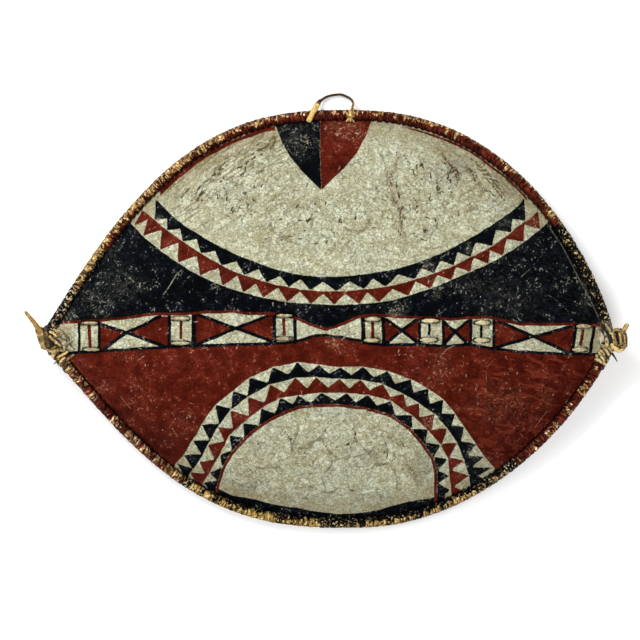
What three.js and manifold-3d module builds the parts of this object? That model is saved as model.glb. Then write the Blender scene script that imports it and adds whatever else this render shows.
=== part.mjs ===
// Buffalo-hide shield lying on its back, painted face up. Millimetres, +Z up, +X along the long axis.
// The domed hide is whipped to a rawhide rim roll; a bent wooden stave runs behind the long axis and is
// held by seven rawhide lashings and a thong binding at each pointed tip. The stave bows away from the
// hide at the middle to make the handgrip. A rawhide strip on one long side is the hanging loop.
import * as THREE from "three";
import Module from "manifold-3d";

const wasm = await Module();
wasm.setup();

// ---------------------------------------------------------------- driving dimensions
const TIP_LEFT_X = -451.6; // outer tips of the lens-shaped outline
const TIP_RIGHT_X = 444.9;
const TIP_Y = -35.1; // the tips' common line
const UPPER = { crownX: 32.8, height: 360.0, left: [2.683, 1.129], right: [2.332, 0.727] };
const LOWER = { crownX: 38.5, height: 289.8, left: [2.705, 1.263], right: [2.067, 0.807] };
const RIM_R = 10; // rim roll radius
const HIDE_T = 6; // hide thickness
const GAP = 0.35; // clearance between pieces that touch in life
const DOME_Z = 126; // outer face above the floor at the grip
const TIP_RISE = 40; // how far the rim sweeps up towards the tips
const FLAT_SHARE = 0.34; // share of the half length on which the rim lies flat
const DOME_POWER = 2.4; // fullness of the cross-section
const RIDGE_POWER = 2.2; // fullness of the ridge line
const RIDGE_BOW = 12; // the ridge bows sideways from the tip line

const STAVE_W = 19; // stave width and thickness
const STAVE_T = 13;
const STAVE_CLEAR = 1.4; // stave to hide
const GRIP_X = 2; // handgrip centre
const GRIP_HALF = 62; // half the bowed length
const GRIP_DEPTH = 40; // how far the grip stands off the hide
const STAVE_ENDS = [-446, 434];

const THONG_R = 1.8; // lashing thong radius
// Lashings: x of the middle, y of the two front stitches, half the stitch length, lean from top to bottom.
const LASHINGS = [
  { x: -366, top: -6.5, bottom: -47.5, half: 11, lean: 3 },
  { x: -226, top: 0.5, bottom: -37.5, half: 12.5, lean: 0.5 },
  { x: -65.5, top: 5, bottom: -30.5, half: 10.5, lean: -0.5 },
  { x: 70, top: -0.5, bottom: -33, half: 10.5, lean: -1.5 },
  { x: 158.5, top: -3, bottom: -32.5, half: 12, lean: -2.5 },
  { x: 239, top: -6, bottom: -33, half: 10.5, lean: -1 },
  { x: 396, top: -11.5, bottom: -47.5, half: 10.5, lean: -6.5 },
];

// Middle of the overall length and width without the hanging loop; it is moved onto the origin.
const MIDDLE = [-0.42, 0];

// ---------------------------------------------------------------- the outline and the dome
function half(edge, x) {
  const tip = x < edge.crownX ? TIP_LEFT_X : TIP_RIGHT_X;
  const [p, q] = x < edge.crownX ? edge.left : edge.right;
  const s = Math.min(1, Math.abs((x - edge.crownX) / (tip - edge.crownX)));
  return edge.height * Math.pow(Math.max(0, 1 - Math.pow(s, p)), q);
}
const slope = (edge, x) => (half(edge, x + 0.5) - half(edge, x - 0.5)) / 1.0;

// The outline moved inwards by a distance: y of its upper and lower side at x.
const upperY = (x, inset) => TIP_Y + half(UPPER, x) - inset * Math.hypot(1, slope(UPPER, x));
const lowerY = (x, inset) => TIP_Y - half(LOWER, x) + inset * Math.hypot(1, slope(LOWER, x));

// x of a tip of the inset outline, where its two sides meet.
function tipX(inset, sign) {
  let inside = 0,
    outside = (sign < 0 ? TIP_LEFT_X : TIP_RIGHT_X) - sign * 1;
  for (let k = 0; k < 60; k++) {
    const mid = (inside + outside) / 2;
    if (upperY(mid, inset) > lowerY(mid, inset)) inside = mid;
    else outside = mid;
  }
  return inside;
}
const CENTRE_TIPS = [tipX(RIM_R, -1), tipX(RIM_R, 1)]; // tips of the rim roll's centre line
const CENTRE_TIP_Y = CENTRE_TIPS.map((x) => upperY(x, RIM_R));

// Share of the way from the middle to a tip, -1 to 1.
const along = (x) => (x < 0 ? -x / CENTRE_TIPS[0] : x / CENTRE_TIPS[1]);
function rise(x) {
  const s = Math.max(0, Math.min(1.1, Math.abs(along(x))) - FLAT_SHARE) / (1 - FLAT_SHARE);
  return TIP_RISE * s * s;
}
const edgeZ = (x) => RIM_R + HIDE_T / 2 + rise(x); // outer face of the hide at the rim
function ridgeZ(x) {
  const tip = edgeZ(CENTRE_TIPS[1]);
  return tip + (DOME_Z - tip) * (1 - Math.pow(Math.min(1, Math.abs(along(x))), RIDGE_POWER));
}
function ridgeY(x) {
  const t = (x - CENTRE_TIPS[0]) / (CENTRE_TIPS[1] - CENTRE_TIPS[0]);
  const line = CENTRE_TIP_Y[0] + (CENTRE_TIP_Y[1] - CENTRE_TIP_Y[0]) * t;
  return line + RIDGE_BOW * Math.max(0, 4 * t * (1 - t));
}
// Height of the hide's outer face.
function outerZ(x, y) {
  const r = ridgeY(x);
  const v = y > r ? (y - r) / (upperY(x, RIM_R) - r) : (r - y) / (r - lowerY(x, RIM_R));
  return edgeZ(x) + (ridgeZ(x) - edgeZ(x)) * (1 - Math.pow(Math.min(1.05, Math.abs(v)), DOME_POWER));
}
const tilt = (x, y) => Math.hypot(1, outerZ(x + 1, y) - outerZ(x - 1, y), outerZ(x, y + 1) - outerZ(x, y - 1));
const innerZ = (x, y) => outerZ(x, y) - HIDE_T * Math.sqrt((1 + tilt(x, y) ** 2) / 2);

// ---------------------------------------------------------------- solids
function geometryOf(positions, index) {
  const g = new THREE.BufferGeometry();
  g.setAttribute("position", new THREE.BufferAttribute(new Float32Array(positions), 3));
  g.setIndex(index);
  return g;
}
function solidOf(geometry) {
  const made = new wasm.Manifold(
    new wasm.Mesh({
      numProp: 3,
      vertProperties: new Float32Array(geometry.attributes.position.array),
      triVerts: new Uint32Array(geometry.index.array),
    }),
  );
  return made;
}
function meshOf(solid) {
  const m = solid.getMesh();
  const v = new Float32Array(m.numVert * 3);
  for (let i = 0; i < m.numVert; i++)
    v.set(m.vertProperties.subarray(i * m.numProp, i * m.numProp + 3), i * 3);
  return geometryOf(v, new THREE.BufferAttribute(m.triVerts, 1));
}

// A section swept along points. rings[i] holds ring i's points in order; caps close an open sweep.
function loft(rings, closed) {
  const n = rings[0].length,
    positions = rings.flat().flatMap((p) => [p.x, p.y, p.z]),
    index = [];
  const last = closed ? rings.length : rings.length - 1;
  for (let i = 0; i < last; i++) {
    const a = i * n,
      b = ((i + 1) % rings.length) * n;
    for (let j = 0; j < n; j++) {
      const k = (j + 1) % n;
      index.push(a + j, a + k, b + k, a + j, b + k, b + j);
    }
  }
  if (!closed) {
    const e = (rings.length - 1) * n;
    for (let j = 1; j < n - 1; j++) index.push(0, j + 1, j, e, e + j, e + j + 1);
  }
  const g = geometryOf(positions, index);
  const s = solidOf(g);
  if (s.volume() > 0) return s;
  for (let i = 0; i < index.length; i += 3) [index[i + 1], index[i + 2]] = [index[i + 2], index[i + 1]];
  return solidOf(geometryOf(positions, index));
}

// Cuts the corners of a line of points, twice, so that it bends smoothly.
function rounded(points, closed, times = 2) {
  let p = points;
  for (let t = 0; t < times; t++) {
    const q = [];
    const n = p.length,
      last = closed ? n : n - 1;
    if (!closed) q.push(p[0].clone());
    for (let i = 0; i < last; i++) {
      const a = p[i],
        b = p[(i + 1) % n];
      if (closed || i > 0) q.push(a.clone().lerp(b, 0.25));
      if (closed || i < last - 1) q.push(a.clone().lerp(b, 0.75));
    }
    if (!closed) q.push(p[n - 1].clone());
    p = q;
  }
  return p;
}

// A thong: an oval section of half width a and half thickness b carried along points without twist.
function thong(points, closed, size, sides = 6) {
  const n = points.length;
  const at = (i) => points[closed ? (i + n) % n : Math.max(0, Math.min(n - 1, i))];
  const tangents = points.map((_, i) => at(i + 1).clone().sub(at(i - 1)).normalize());
  let normal = new THREE.Vector3(0, 0, 1);
  if (Math.abs(tangents[0].z) > 0.8) normal.set(1, 0, 0);
  normal.addScaledVector(tangents[0], -normal.dot(tangents[0])).normalize();
  const normals = [normal.clone()];
  for (let i = 1; i < n; i++) {
    normal.addScaledVector(tangents[i], -normal.dot(tangents[i])).normalize();
    normals.push(normal.clone());
  }
  let twist = 0;
  if (closed) {
    const end = normal.clone().addScaledVector(tangents[0], -normal.dot(tangents[0])).normalize();
    twist = Math.atan2(new THREE.Vector3().crossVectors(end, normals[0]).dot(tangents[0]), end.dot(normals[0]));
  }
  const rings = points.map((p, i) => {
    const turn = (twist * i) / n;
    const u = normals[i].clone().applyAxisAngle(tangents[i], turn);
    const w = new THREE.Vector3().crossVectors(tangents[i], u);
    const [a, b] = typeof size === "function" ? size(i / (n - 1)) : size;
    return Array.from({ length: sides }, (_, j) => {
      const angle = ((j + 0.5) * 2 * Math.PI) / sides;
      return p.clone().addScaledVector(w, a * Math.cos(angle)).addScaledVector(u, b * Math.sin(angle));
    });
  });
  return loft(rings, closed);
}
const V = (x, y, z) => new THREE.Vector3(x, y, z);

// The hide: two grids of points, the inner one offset along the normals, joined round the edge.
function hide(columns, rows, grow) {
  const inset = RIM_R - grow,
    xl = tipX(inset, -1),
    xr = tipX(inset, 1);
  const outer = [],
    id = [];
  for (let i = 0; i <= columns; i++) {
    const x = xl + ((xr - xl) * (1 - Math.cos((Math.PI * i) / columns))) / 2;
    const line = [];
    for (let j = 0; j <= rows; j++) {
      const v = -1 + (2 * j) / rows;
      if ((i === 0 || i === columns) && j > 0) {
        line.push(line[0]);
        continue;
      }
      const r = ridgeY(x),
        y = v > 0 ? r + v * (upperY(x, inset) - r) : r + v * (r - lowerY(x, inset));
      line.push(outer.length);
      if (i === 0 || i === columns) outer.push(V(x, upperY(x, inset), edgeZ(x)));
      else outer.push(V(x, y, outerZ(x, y)));
    }
    id.push(line);
  }
  const top = [];
  for (let i = 0; i < columns; i++)
    for (let j = 0; j < rows; j++) {
      const a = id[i][j],
        b = id[i + 1][j],
        c = id[i + 1][j + 1],
        d = id[i][j + 1];
      if (a !== b && b !== c && a !== c) top.push(a, b, c);
      if (a !== c && c !== d && a !== d) top.push(a, c, d);
    }
  const face = geometryOf(outer.flatMap((p) => [p.x, p.y, p.z]), top);
  face.computeVertexNormals();
  const n = face.attributes.normal,
    m = outer.length;
  const raised = outer.map((p, k) => p.clone().add(V(n.getX(k), n.getY(k), n.getZ(k)).multiplyScalar(grow)));
  const inner = outer.map((p, k) => p.clone().add(V(n.getX(k), n.getY(k), n.getZ(k)).multiplyScalar(-HIDE_T - grow)));
  const index = [...top];
  for (let i = 0; i < top.length; i += 3) index.push(top[i] + m, top[i + 2] + m, top[i + 1] + m);
  const loop = [];
  for (let i = 0; i <= columns; i++) loop.push(id[i][0]);
  for (let i = columns - 1; i > 0; i--) loop.push(id[i][rows]);
  loop.forEach((a, k) => {
    const b = loop[(k + 1) % loop.length];
    index.push(a, a + m, b + m, a, b + m, b);
  });
  return solidOf(geometryOf([...raised, ...inner].flatMap((p) => [p.x, p.y, p.z]), index));
}

// The rim roll's centre line, starting at the left tip and running over the upper side.
function rimLine(steps) {
  const p = [];
  const [xl, xr] = CENTRE_TIPS;
  for (let i = 1; i < 40; i++) {
    const x = xl + ((xr - xl) * (1 - Math.cos((Math.PI * i) / 40))) / 2;
    p.push(V(x, upperY(x, RIM_R), RIM_R + rise(x)));
  }
  for (let i = 39; i > 0; i--) {
    const x = xl + ((xr - xl) * (1 - Math.cos((Math.PI * i) / 40))) / 2;
    p.push(V(x, lowerY(x, RIM_R), RIM_R + rise(x)));
  }
  const curve = new THREE.CatmullRomCurve3(p, true, "centripetal");
  return curve.getSpacedPoints(steps).slice(0, steps);
}
function rim(steps, sides, grow) {
  const line = rimLine(steps);
  const rings = line.map((p, i) => {
    const t = line[(i + 1) % steps].clone().sub(line[(i + steps - 1) % steps]);
    t.z = 0;
    t.normalize();
    const out = V(-t.y, t.x, 0); // outwards on a loop that runs clockwise
    return Array.from({ length: sides }, (_, j) => {
      const angle = ((j + 0.5) * 2 * Math.PI) / sides,
        r = (RIM_R + grow) / Math.cos(Math.PI / sides);
      const q = p.clone().addScaledVector(out, r * Math.cos(angle));
      q.z += r * Math.sin(angle);
      // the roll lies flat on the floor along the middle of each long side
      if (grow === 0 && Math.abs(q.z) < 0.05) q.z = 0;
      return q;
    });
  });
  return loft(rings, true);
}

// The stave's centre line: under the hide, over the grip's bow, and below the rim at both ends.
function staveY(x) {
  const p = LASHINGS;
  const ends = [
    [STAVE_ENDS[0] - 20, TIP_Y],
    ...p.map((l) => [l.x, (l.top + l.bottom) / 2]),
    [STAVE_ENDS[1] + 20, TIP_Y + 2],
  ];
  for (let i = 1; i < ends.length; i++)
    if (x <= ends[i][0]) {
      const t = (x - ends[i - 1][0]) / (ends[i][0] - ends[i - 1][0]);
      const s = t * t * (3 - 2 * t);
      return ends[i - 1][1] + (ends[i][1] - ends[i - 1][1]) * s;
    }
  return ends[ends.length - 1][1];
}
function gripBow(x) {
  const s = Math.min(1, Math.abs(x - GRIP_X) / GRIP_HALF);
  const c = Math.min(1, Math.max(0, (1 - s) / 0.5));
  return GRIP_DEPTH * c * c * (3 - 2 * c);
}
function staveZ(x) {
  const y = staveY(x);
  const end = Math.pow(Math.min(1, Math.abs(along(x))), 10);
  return innerZ(x, y) - STAVE_CLEAR - STAVE_T / 2 - 4.5 * end - gripBow(x);
}
function stave(steps, sides, grow) {
  const line = [];
  for (let i = 0; i <= steps; i++) {
    const x = STAVE_ENDS[0] + ((STAVE_ENDS[1] - STAVE_ENDS[0]) * i) / steps;
    line.push(V(x, staveY(x), staveZ(x)));
  }
  const rings = line.map((p, i) => {
    const t = line[Math.min(steps, i + 1)].clone().sub(line[Math.max(0, i - 1)]).normalize();
    const side = V(-t.y, t.x, 0).normalize(),
      up = new THREE.Vector3().crossVectors(t, side);
    const taper = 1 - 0.5 * Math.pow(Math.abs(2 * (i / steps) - 1), 8);
    const grip = gripBow(p.x) / GRIP_DEPTH;
    return Array.from({ length: sides }, (_, j) => {
      const angle = ((j + 0.5) * 2 * Math.PI) / sides;
      const c = Math.cos(angle),
        s = Math.sin(angle),
        w = (STAVE_W / 2) * taper * (1 + 0.2 * grip) + grow,
        h = (STAVE_T / 2) * taper * (1 + 0.15 * grip) + grow;
      return p
        .clone()
        .addScaledVector(side, w * Math.sign(c) * Math.pow(Math.abs(c), 0.75))
        .addScaledVector(up, h * Math.sign(s) * Math.pow(Math.abs(s), 0.75));
    });
  });
  return loft(rings, false);
}

// One lashing: a closed thong with a stitch above and below the stave on the front, crossing it behind.
function lashing(l) {
  const y0 = staveY(l.x),
    h = l.half;
  const front = (x, y) => V(x, y, outerZ(x, y) + THONG_R + 0.7);
  const below = (x) => staveZ(x) - STAVE_T / 2 - THONG_R - 0.8;
  const wide = STAVE_W / 2 + THONG_R + 0.6;
  const xt = l.x,
    xb = l.x + l.lean;
  const leg = (s) => [
    V(xt + s * h, l.top, innerZ(xt, l.top) - 5),
    V((xt + xb) / 2 + s * h, y0 + wide, below(xt)),
    V((xt + xb) / 2 + s * h, y0 - wide, below(xt)),
    V(xb + s * h, l.bottom, innerZ(xb, l.bottom) - 5),
  ];
  const points = [
    front(xt - h, l.top),
    front(xt + h, l.top),
    ...leg(1),
    front(xb + h, l.bottom),
    front(xb - h, l.bottom),
    ...leg(-1).reverse(),
  ];
  return thong(rounded(points, true, 1), true, [THONG_R, THONG_R], 5);
}
// The four slots a lashing passes through, longer towards the middle of the stitch where it bends over.
function slots(l) {
  const w = THONG_R + 0.8;
  const made = [];
  for (const [x, y] of [
    [l.x, l.top],
    [l.x + l.lean, l.bottom],
  ])
    for (const s of [-1, 1]) {
      const centre = x + s * (l.half - 0.9);
      const ring = (z) => [
        V(centre - w - 1.5, y - w, z),
        V(centre + w + 1.5, y - w, z),
        V(centre + w + 1.5, y + w, z),
        V(centre - w - 1.5, y + w, z),
      ];
      made.push(loft([ring(outerZ(x, y) - 24), ring(outerZ(x, y) + 14)], false));
    }
  return union(made);
}

// ---------------------------------------------------------------- tip bindings
// A loop round the pointed end: over the front, through the hide, under the stave and back outside.
function tipLoop(side, y, reach, lift, size, grow) {
  const out = side < 0 ? TIP_LEFT_X - 1 : TIP_RIGHT_X + 1;
  const s = -side;
  const inX = out + s * reach;
  const topZ = edgeZ(out + s * 20) + RIM_R - 1 + lift;
  const low = Math.min(staveZ(inX), staveZ(out + s * 18)) - STAVE_T * 0.3 - size - 1.2;
  const outerMid = (topZ + low) / 2;
  const points = [
    V(out - s * 0.5, TIP_Y + y * 0.45, outerMid),
    V(out + s * 4, TIP_Y + y * 0.55, topZ - 1),
    V(out + s * reach * 0.5, TIP_Y + y * 0.8, Math.max(topZ + 1, outerZ(out + s * reach * 0.5, TIP_Y + y * 0.8) + size + 1)),
    V(inX - s * 2, TIP_Y + y, outerZ(inX, TIP_Y + y) + size + 0.6),
    V(inX, TIP_Y + y, outerZ(inX, TIP_Y + y) - 3),
    V(inX, TIP_Y + y * 1.0, innerZ(inX, TIP_Y + y) - 4),
    V(inX - s * 3, TIP_Y + y * 0.8, low),
    V(out + s * 8, TIP_Y + y * 0.55, low),
  ];
  return thong(rounded(points, true, 1), true, [size + grow, size * 0.8 + grow], 5);
}
// A turn round the rim roll, at a place along its centre line.
function rimTurn(share, size, grow) {
  const line = rimLine(400),
    i = Math.round(share * 400) % 400;
  const p = line[i],
    t = line[(i + 1) % 400].clone().sub(line[(i + 399) % 400]).normalize();
  const out = V(-t.y, t.x, 0).normalize(),
    up = new THREE.Vector3().crossVectors(out, t).normalize();
  if (up.z < 0) up.negate();
  const points = Array.from({ length: 9 }, (_, k) => {
    const a = (k * Math.PI) / 4.5;
    const r = RIM_R + size - 0.9;
    return p
      .clone()
      .addScaledVector(out, r * Math.cos(a))
      .addScaledVector(up, r * Math.sin(a))
      .addScaledVector(t, 3 * Math.sin(a));
  });
  return thong(points, true, [size * 1.5 + grow, size + grow], 5);
}
function tapered(points, thick, thin, grow) {
  return thong(rounded(points, false, 1), false, (t) => {
    const r = thick + (thin - thick) * t;
    return [r + grow, r * 0.75 + grow];
  }, 5);
}
function union(list) {
  return list.reduce((a, b) => a.add(b));
}
const LEFT_TOP = edgeZ(TIP_LEFT_X + 20) + RIM_R;
const RIGHT_TOP = edgeZ(TIP_RIGHT_X - 20) + RIM_R;
function leftBinding(grow) {
  return union([
    tipLoop(-1, 17, 44, 0, 3.4, grow),
    tipLoop(-1, 4, 52, 1.2, 3.8, grow),
    tipLoop(-1, -12, 46, 0, 3.6, grow),
    rimTurn(0.985, 3.2, grow),
    rimTurn(0.974, 3.0, grow),
    rimTurn(0.963, 3.2, grow),
    rimTurn(0.9955, 3.2, grow),
    // the thong's stiff pointed end
    tapered([V(-437, -40, LEFT_TOP - 1), V(-445, -28, LEFT_TOP - 1), V(-456, -10, LEFT_TOP - 2), V(-468.5, 11, LEFT_TOP - 4)], 4.8, 1.9, grow),
    // a short dark end that sticks out below
    tapered([V(-408, -62, LEFT_TOP - 9), V(-416, -68, LEFT_TOP - 9), V(-424, -72, LEFT_TOP - 10)], 1.8, 0.8, grow),
  ]);
}
function rightShare(dy) {
  const line = rimLine(400);
  let best = 0;
  line.forEach((p, i) => {
    if (p.x > 300 && Math.abs(p.y - (TIP_Y + dy)) < Math.abs(line[best].y - (TIP_Y + dy)) + (line[best].x > 300 ? 0 : 1e6)) best = i;
  });
  return best / 400;
}
function rightBinding(grow) {
  const shares = [-12, -25, -38].map(rightShare);
  return union([
    tipLoop(1, 14, 30, 0.5, 3.6, grow),
    tipLoop(1, 3, 36, 1.5, 3.8, grow),
    tipLoop(1, -9, 32, 0.5, 3.6, grow),
    ...shares.map((s) => rimTurn(s, 3.8, grow)),
    // two stiff ends lying together
    tapered([V(446, -36, RIGHT_TOP), V(455, -26, RIGHT_TOP + 1), V(461, -8, RIGHT_TOP)], 4.6, 2.6, grow),
    tapered([V(448, -42, RIGHT_TOP - 3), V(460, -33, RIGHT_TOP - 3), V(467, -22, RIGHT_TOP - 4)], 4.4, 2.8, grow),
    tapered([V(438, -58, RIGHT_TOP - 8), V(446, -66, RIGHT_TOP - 8), V(450, -73, RIGHT_TOP - 9)], 1.8, 0.8, grow),
  ]);
}

// ---------------------------------------------------------------- hanging loop
// A rawhide strip: out of the groove inside the rim, over the roll, round in the air and back.
const LOOP_W = 3.6;
const LOOP_T = 1.8;
function loopPoints() {
  const top = 2 * RIM_R + LOOP_T + 0.6,
    floor = LOOP_T + 0.9;
  return [
    V(-29, 306.5, top - 4),
    V(-27, 310, top - 0.5),
    V(-22.5, 319, top - 0.2),
    V(-17.5, 327.5, top - 5),
    V(-14, 334, top - 12),
    V(-9, 339.5, floor + 2),
    V(2, 346, floor),
    V(20, 348.6, floor),
    V(31, 345.5, floor),
    V(38.5, 340.5, floor + 2),
    V(41.5, 334.5, top - 12),
    V(40.5, 328, top - 5),
    V(37.5, 319, top - 0.2),
    V(34.5, 310, top - 0.5),
    V(33.5, 306.5, top - 4),
  ];
}
function hangingLoop() {
  const curve = new THREE.CatmullRomCurve3(loopPoints(), false, "centripetal");
  return thong(curve.getSpacedPoints(30), false, [LOOP_W, LOOP_T], 6);
}

// ---------------------------------------------------------------- assembly
// Only the largest body of a cut is the piece; the rest are slivers of the cut.
const whole = (s, fine = 0.03) => s.simplify(fine).decompose().sort((a, b) => b.volume() - a.volume())[0];

const plainHide = hide(24, 12, 0);
const grownHide = hide(24, 12, GAP + 0.2).add(plainHide);
const grownRim = rim(56, 8, GAP);
const grownStave = stave(30, 8, GAP);
const left = whole(leftBinding(0).subtract(grownRim).subtract(grownStave), 0.3);
const right = whole(rightBinding(0).subtract(grownRim).subtract(grownStave), 0.3);
let hideSolid = plainHide.subtract(leftBinding(GAP)).subtract(rightBinding(GAP));
for (const l of LASHINGS) hideSolid = hideSolid.subtract(slots(l));

const MATERIALS = {
  hide: new THREE.MeshStandardMaterial({ name: "painted_hide", color: 0x5a2a1e, roughness: 0.6, metalness: 0 }),
  rim: new THREE.MeshStandardMaterial({ name: "rim_rawhide", color: 0x4a2318, roughness: 0.55, metalness: 0 }),
  stave: new THREE.MeshStandardMaterial({ name: "stave_wood", color: 0x5c3d22, roughness: 0.6, metalness: 0 }),
  thong: new THREE.MeshStandardMaterial({ name: "rawhide_thong", color: 0xb99a62, roughness: 0.5, metalness: 0 }),
};
const shield = new THREE.Group();
function piece(name, solid, material) {
  const mesh = new THREE.Mesh(meshOf(solid.translate([-MIDDLE[0], -MIDDLE[1], 0])), material);
  mesh.name = name;
  shield.add(mesh);
}
piece("hide", whole(hideSolid, 0.15), MATERIALS.hide);
piece("rim_lacing", whole(rim(56, 8, 0).subtract(grownHide), 0.13), MATERIALS.rim);
piece("stave", whole(stave(30, 8, 0).subtract(grownRim), 0.08), MATERIALS.stave);
LASHINGS.forEach((l, i) => piece(`lashing_${i + 1}`, whole(lashing(l).subtract(grownStave), 0.12), MATERIALS.thong));
piece("tip_binding_left", left, MATERIALS.thong);
piece("tip_binding_right", right, MATERIALS.thong);
piece("hanging_loop", whole(hangingLoop().subtract(grownRim).subtract(grownHide)), MATERIALS.thong);

export default shield;
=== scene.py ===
import math

import bpy
import numpy as np
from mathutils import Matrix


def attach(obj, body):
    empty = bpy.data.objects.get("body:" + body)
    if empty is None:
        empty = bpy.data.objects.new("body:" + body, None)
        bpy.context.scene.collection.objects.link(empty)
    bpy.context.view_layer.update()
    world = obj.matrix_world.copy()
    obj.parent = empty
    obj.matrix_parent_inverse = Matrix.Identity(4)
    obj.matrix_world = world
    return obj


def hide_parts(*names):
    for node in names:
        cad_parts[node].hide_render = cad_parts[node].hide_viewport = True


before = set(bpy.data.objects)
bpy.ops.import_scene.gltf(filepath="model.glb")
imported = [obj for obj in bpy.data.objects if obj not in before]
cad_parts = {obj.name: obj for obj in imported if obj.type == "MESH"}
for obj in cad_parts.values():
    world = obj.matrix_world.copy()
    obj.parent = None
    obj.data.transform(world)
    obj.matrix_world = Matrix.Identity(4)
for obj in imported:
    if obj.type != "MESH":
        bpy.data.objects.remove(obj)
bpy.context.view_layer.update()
MM = 0.001

# =====================================================================================
# The same outline and dome as the frame's, in millimetres
# =====================================================================================
TIP_LEFT_X, TIP_RIGHT_X, TIP_Y = -451.6, 444.9, -35.1
UPPER = (32.8, 360.0, (2.683, 1.129), (2.332, 0.727))
LOWER = (38.5, 289.8, (2.705, 1.263), (2.067, 0.807))
RIM_R, HIDE_T = 10.0, 6.0
DOME_Z, TIP_RISE, FLAT_SHARE, DOME_POWER, RIDGE_POWER, RIDGE_BOW = 126.0, 40.0, 0.34, 2.4, 2.2, 12.0
STAVE_W, STAVE_T, STAVE_CLEAR = 19.0, 13.0, 1.4
GRIP_X, GRIP_HALF, GRIP_DEPTH = 2.0, 62.0, 40.0
STAVE_ENDS = (-446.0, 434.0)
MIDDLE_X = -0.42
LASHINGS = [
    dict(x=-366, top=-6.5, bottom=-47.5, half=11, lean=3),
    dict(x=-226, top=0.5, bottom=-37.5, half=12.5, lean=0.5),
    dict(x=-65.5, top=5, bottom=-30.5, half=10.5, lean=-0.5),
    dict(x=70, top=-0.5, bottom=-33, half=10.5, lean=-1.5),
    dict(x=158.5, top=-3, bottom=-32.5, half=12, lean=-2.5),
    dict(x=239, top=-6, bottom=-33, half=10.5, lean=-1),
    dict(x=396, top=-11.5, bottom=-47.5, half=10.5, lean=-6.5),
]


def half(edge, x):
    x = np.asarray(x, float)
    crown, height, left, right = edge
    lo = x < crown
    tip = np.where(lo, TIP_LEFT_X, TIP_RIGHT_X)
    p = np.where(lo, left[0], right[0])
    q = np.where(lo, left[1], right[1])
    s = np.minimum(1, np.abs((x - crown) / (tip - crown)))
    return height * np.maximum(0, 1 - s**p) ** q


def upper_y(x, inset):
    g = half(UPPER, np.asarray(x) + 0.5) - half(UPPER, np.asarray(x) - 0.5)
    return TIP_Y + half(UPPER, x) - inset * np.hypot(1, g)


def lower_y(x, inset):
    g = half(LOWER, np.asarray(x) + 0.5) - half(LOWER, np.asarray(x) - 0.5)
    return TIP_Y - half(LOWER, x) + inset * np.hypot(1, g)


def tip_x(inset, sign):
    a, b = 0.0, (TIP_LEFT_X if sign < 0 else TIP_RIGHT_X) - sign
    for _ in range(60):
        m = (a + b) / 2
        if upper_y(m, inset) > lower_y(m, inset):
            a = m
        else:
            b = m
    return a


TIPS = (tip_x(RIM_R, -1), tip_x(RIM_R, 1))
TIPS_Y = tuple(float(upper_y(x, RIM_R)) for x in TIPS)


def along(x):
    x = np.asarray(x, float)
    return np.where(x < 0, -x / TIPS[0], x / TIPS[1])


def rise(x):
    s = np.maximum(0, np.minimum(1.1, np.abs(along(x))) - FLAT_SHARE) / (1 - FLAT_SHARE)
    return TIP_RISE * s * s


def edge_z(x):
    return RIM_R + HIDE_T / 2 + rise(x)


def ridge_z(x):
    tip = edge_z(TIPS[1])
    return tip + (DOME_Z - tip) * (1 - np.minimum(1, np.abs(along(x))) ** RIDGE_POWER)


def ridge_y(x):
    t = (np.asarray(x, float) - TIPS[0]) / (TIPS[1] - TIPS[0])
    return TIPS_Y[0] + (TIPS_Y[1] - TIPS_Y[0]) * t + RIDGE_BOW * np.maximum(0, 4 * t * (1 - t))


def outer_z(x, y):
    x, y = np.asarray(x, float), np.asarray(y, float)
    r = ridge_y(x)
    up = np.maximum(upper_y(x, RIM_R) - r, 1e-3)
    dn = np.maximum(r - lower_y(x, RIM_R), 1e-3)
    v = np.where(y > r, (y - r) / up, (r - y) / dn)
    return edge_z(x) + (ridge_z(x) - edge_z(x)) * (1 - np.minimum(1.05, np.abs(v)) ** DOME_POWER)


def inner_z(x, y):
    t = np.sqrt(1 + (outer_z(x + 1, y) - outer_z(x - 1, y)) ** 2 + (outer_z(x, y + 1) - outer_z(x, y - 1)) ** 2)
    return outer_z(x, y) - HIDE_T * np.sqrt((1 + t**2) / 2)


def stave_y(x):
    ends = [(STAVE_ENDS[0] - 20, TIP_Y)]
    ends += [(l["x"], (l["top"] + l["bottom"]) / 2) for l in LASHINGS]
    ends += [(STAVE_ENDS[1] + 20, TIP_Y + 2)]
    for (xa, ya), (xb, yb) in zip(ends, ends[1:]):
        if x <= xb:
            t = (x - xa) / (xb - xa)
            return ya + (yb - ya) * t * t * (3 - 2 * t)
    return ends[-1][1]


def grip_bow(x):
    s = min(1, abs(x - GRIP_X) / GRIP_HALF)
    c = min(1, max(0, (1 - s) / 0.5))
    return GRIP_DEPTH * c * c * (3 - 2 * c)


def stave_z(x):
    end = min(1, abs(float(along(x)))) ** 10
    return float(inner_z(x, stave_y(x))) - STAVE_CLEAR - STAVE_T / 2 - 4.5 * end - grip_bow(x)


# =====================================================================================
# Noise, sweeps and mesh helpers
# =====================================================================================
def _hash(ix, iy, seed):
    h = (ix.astype(np.int64) * 374761393 + iy.astype(np.int64) * 668265263 + seed * 2147483647) & 0x7FFFFFFF
    h = ((h ^ (h >> 13)) * 1274126177) & 0x7FFFFFFF
    return ((h ^ (h >> 16)) & 0xFFFFFF) / float(0xFFFFFF) * 2 - 1


def vnoise(x, y, scale, seed=0):
    """Smooth noise from -1 to 1 with features of about `scale`."""
    x, y = np.asarray(x, float) / scale, np.asarray(y, float) / scale
    ix, iy = np.floor(x), np.floor(y)
    fx, fy = x - ix, y - iy
    fx, fy = fx * fx * (3 - 2 * fx), fy * fy * (3 - 2 * fy)
    a, b = _hash(ix, iy, seed), _hash(ix + 1, iy, seed)
    c, d = _hash(ix, iy + 1, seed), _hash(ix + 1, iy + 1, seed)
    return (a * (1 - fx) + b * fx) * (1 - fy) + (c * (1 - fx) + d * fx) * fy


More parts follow.
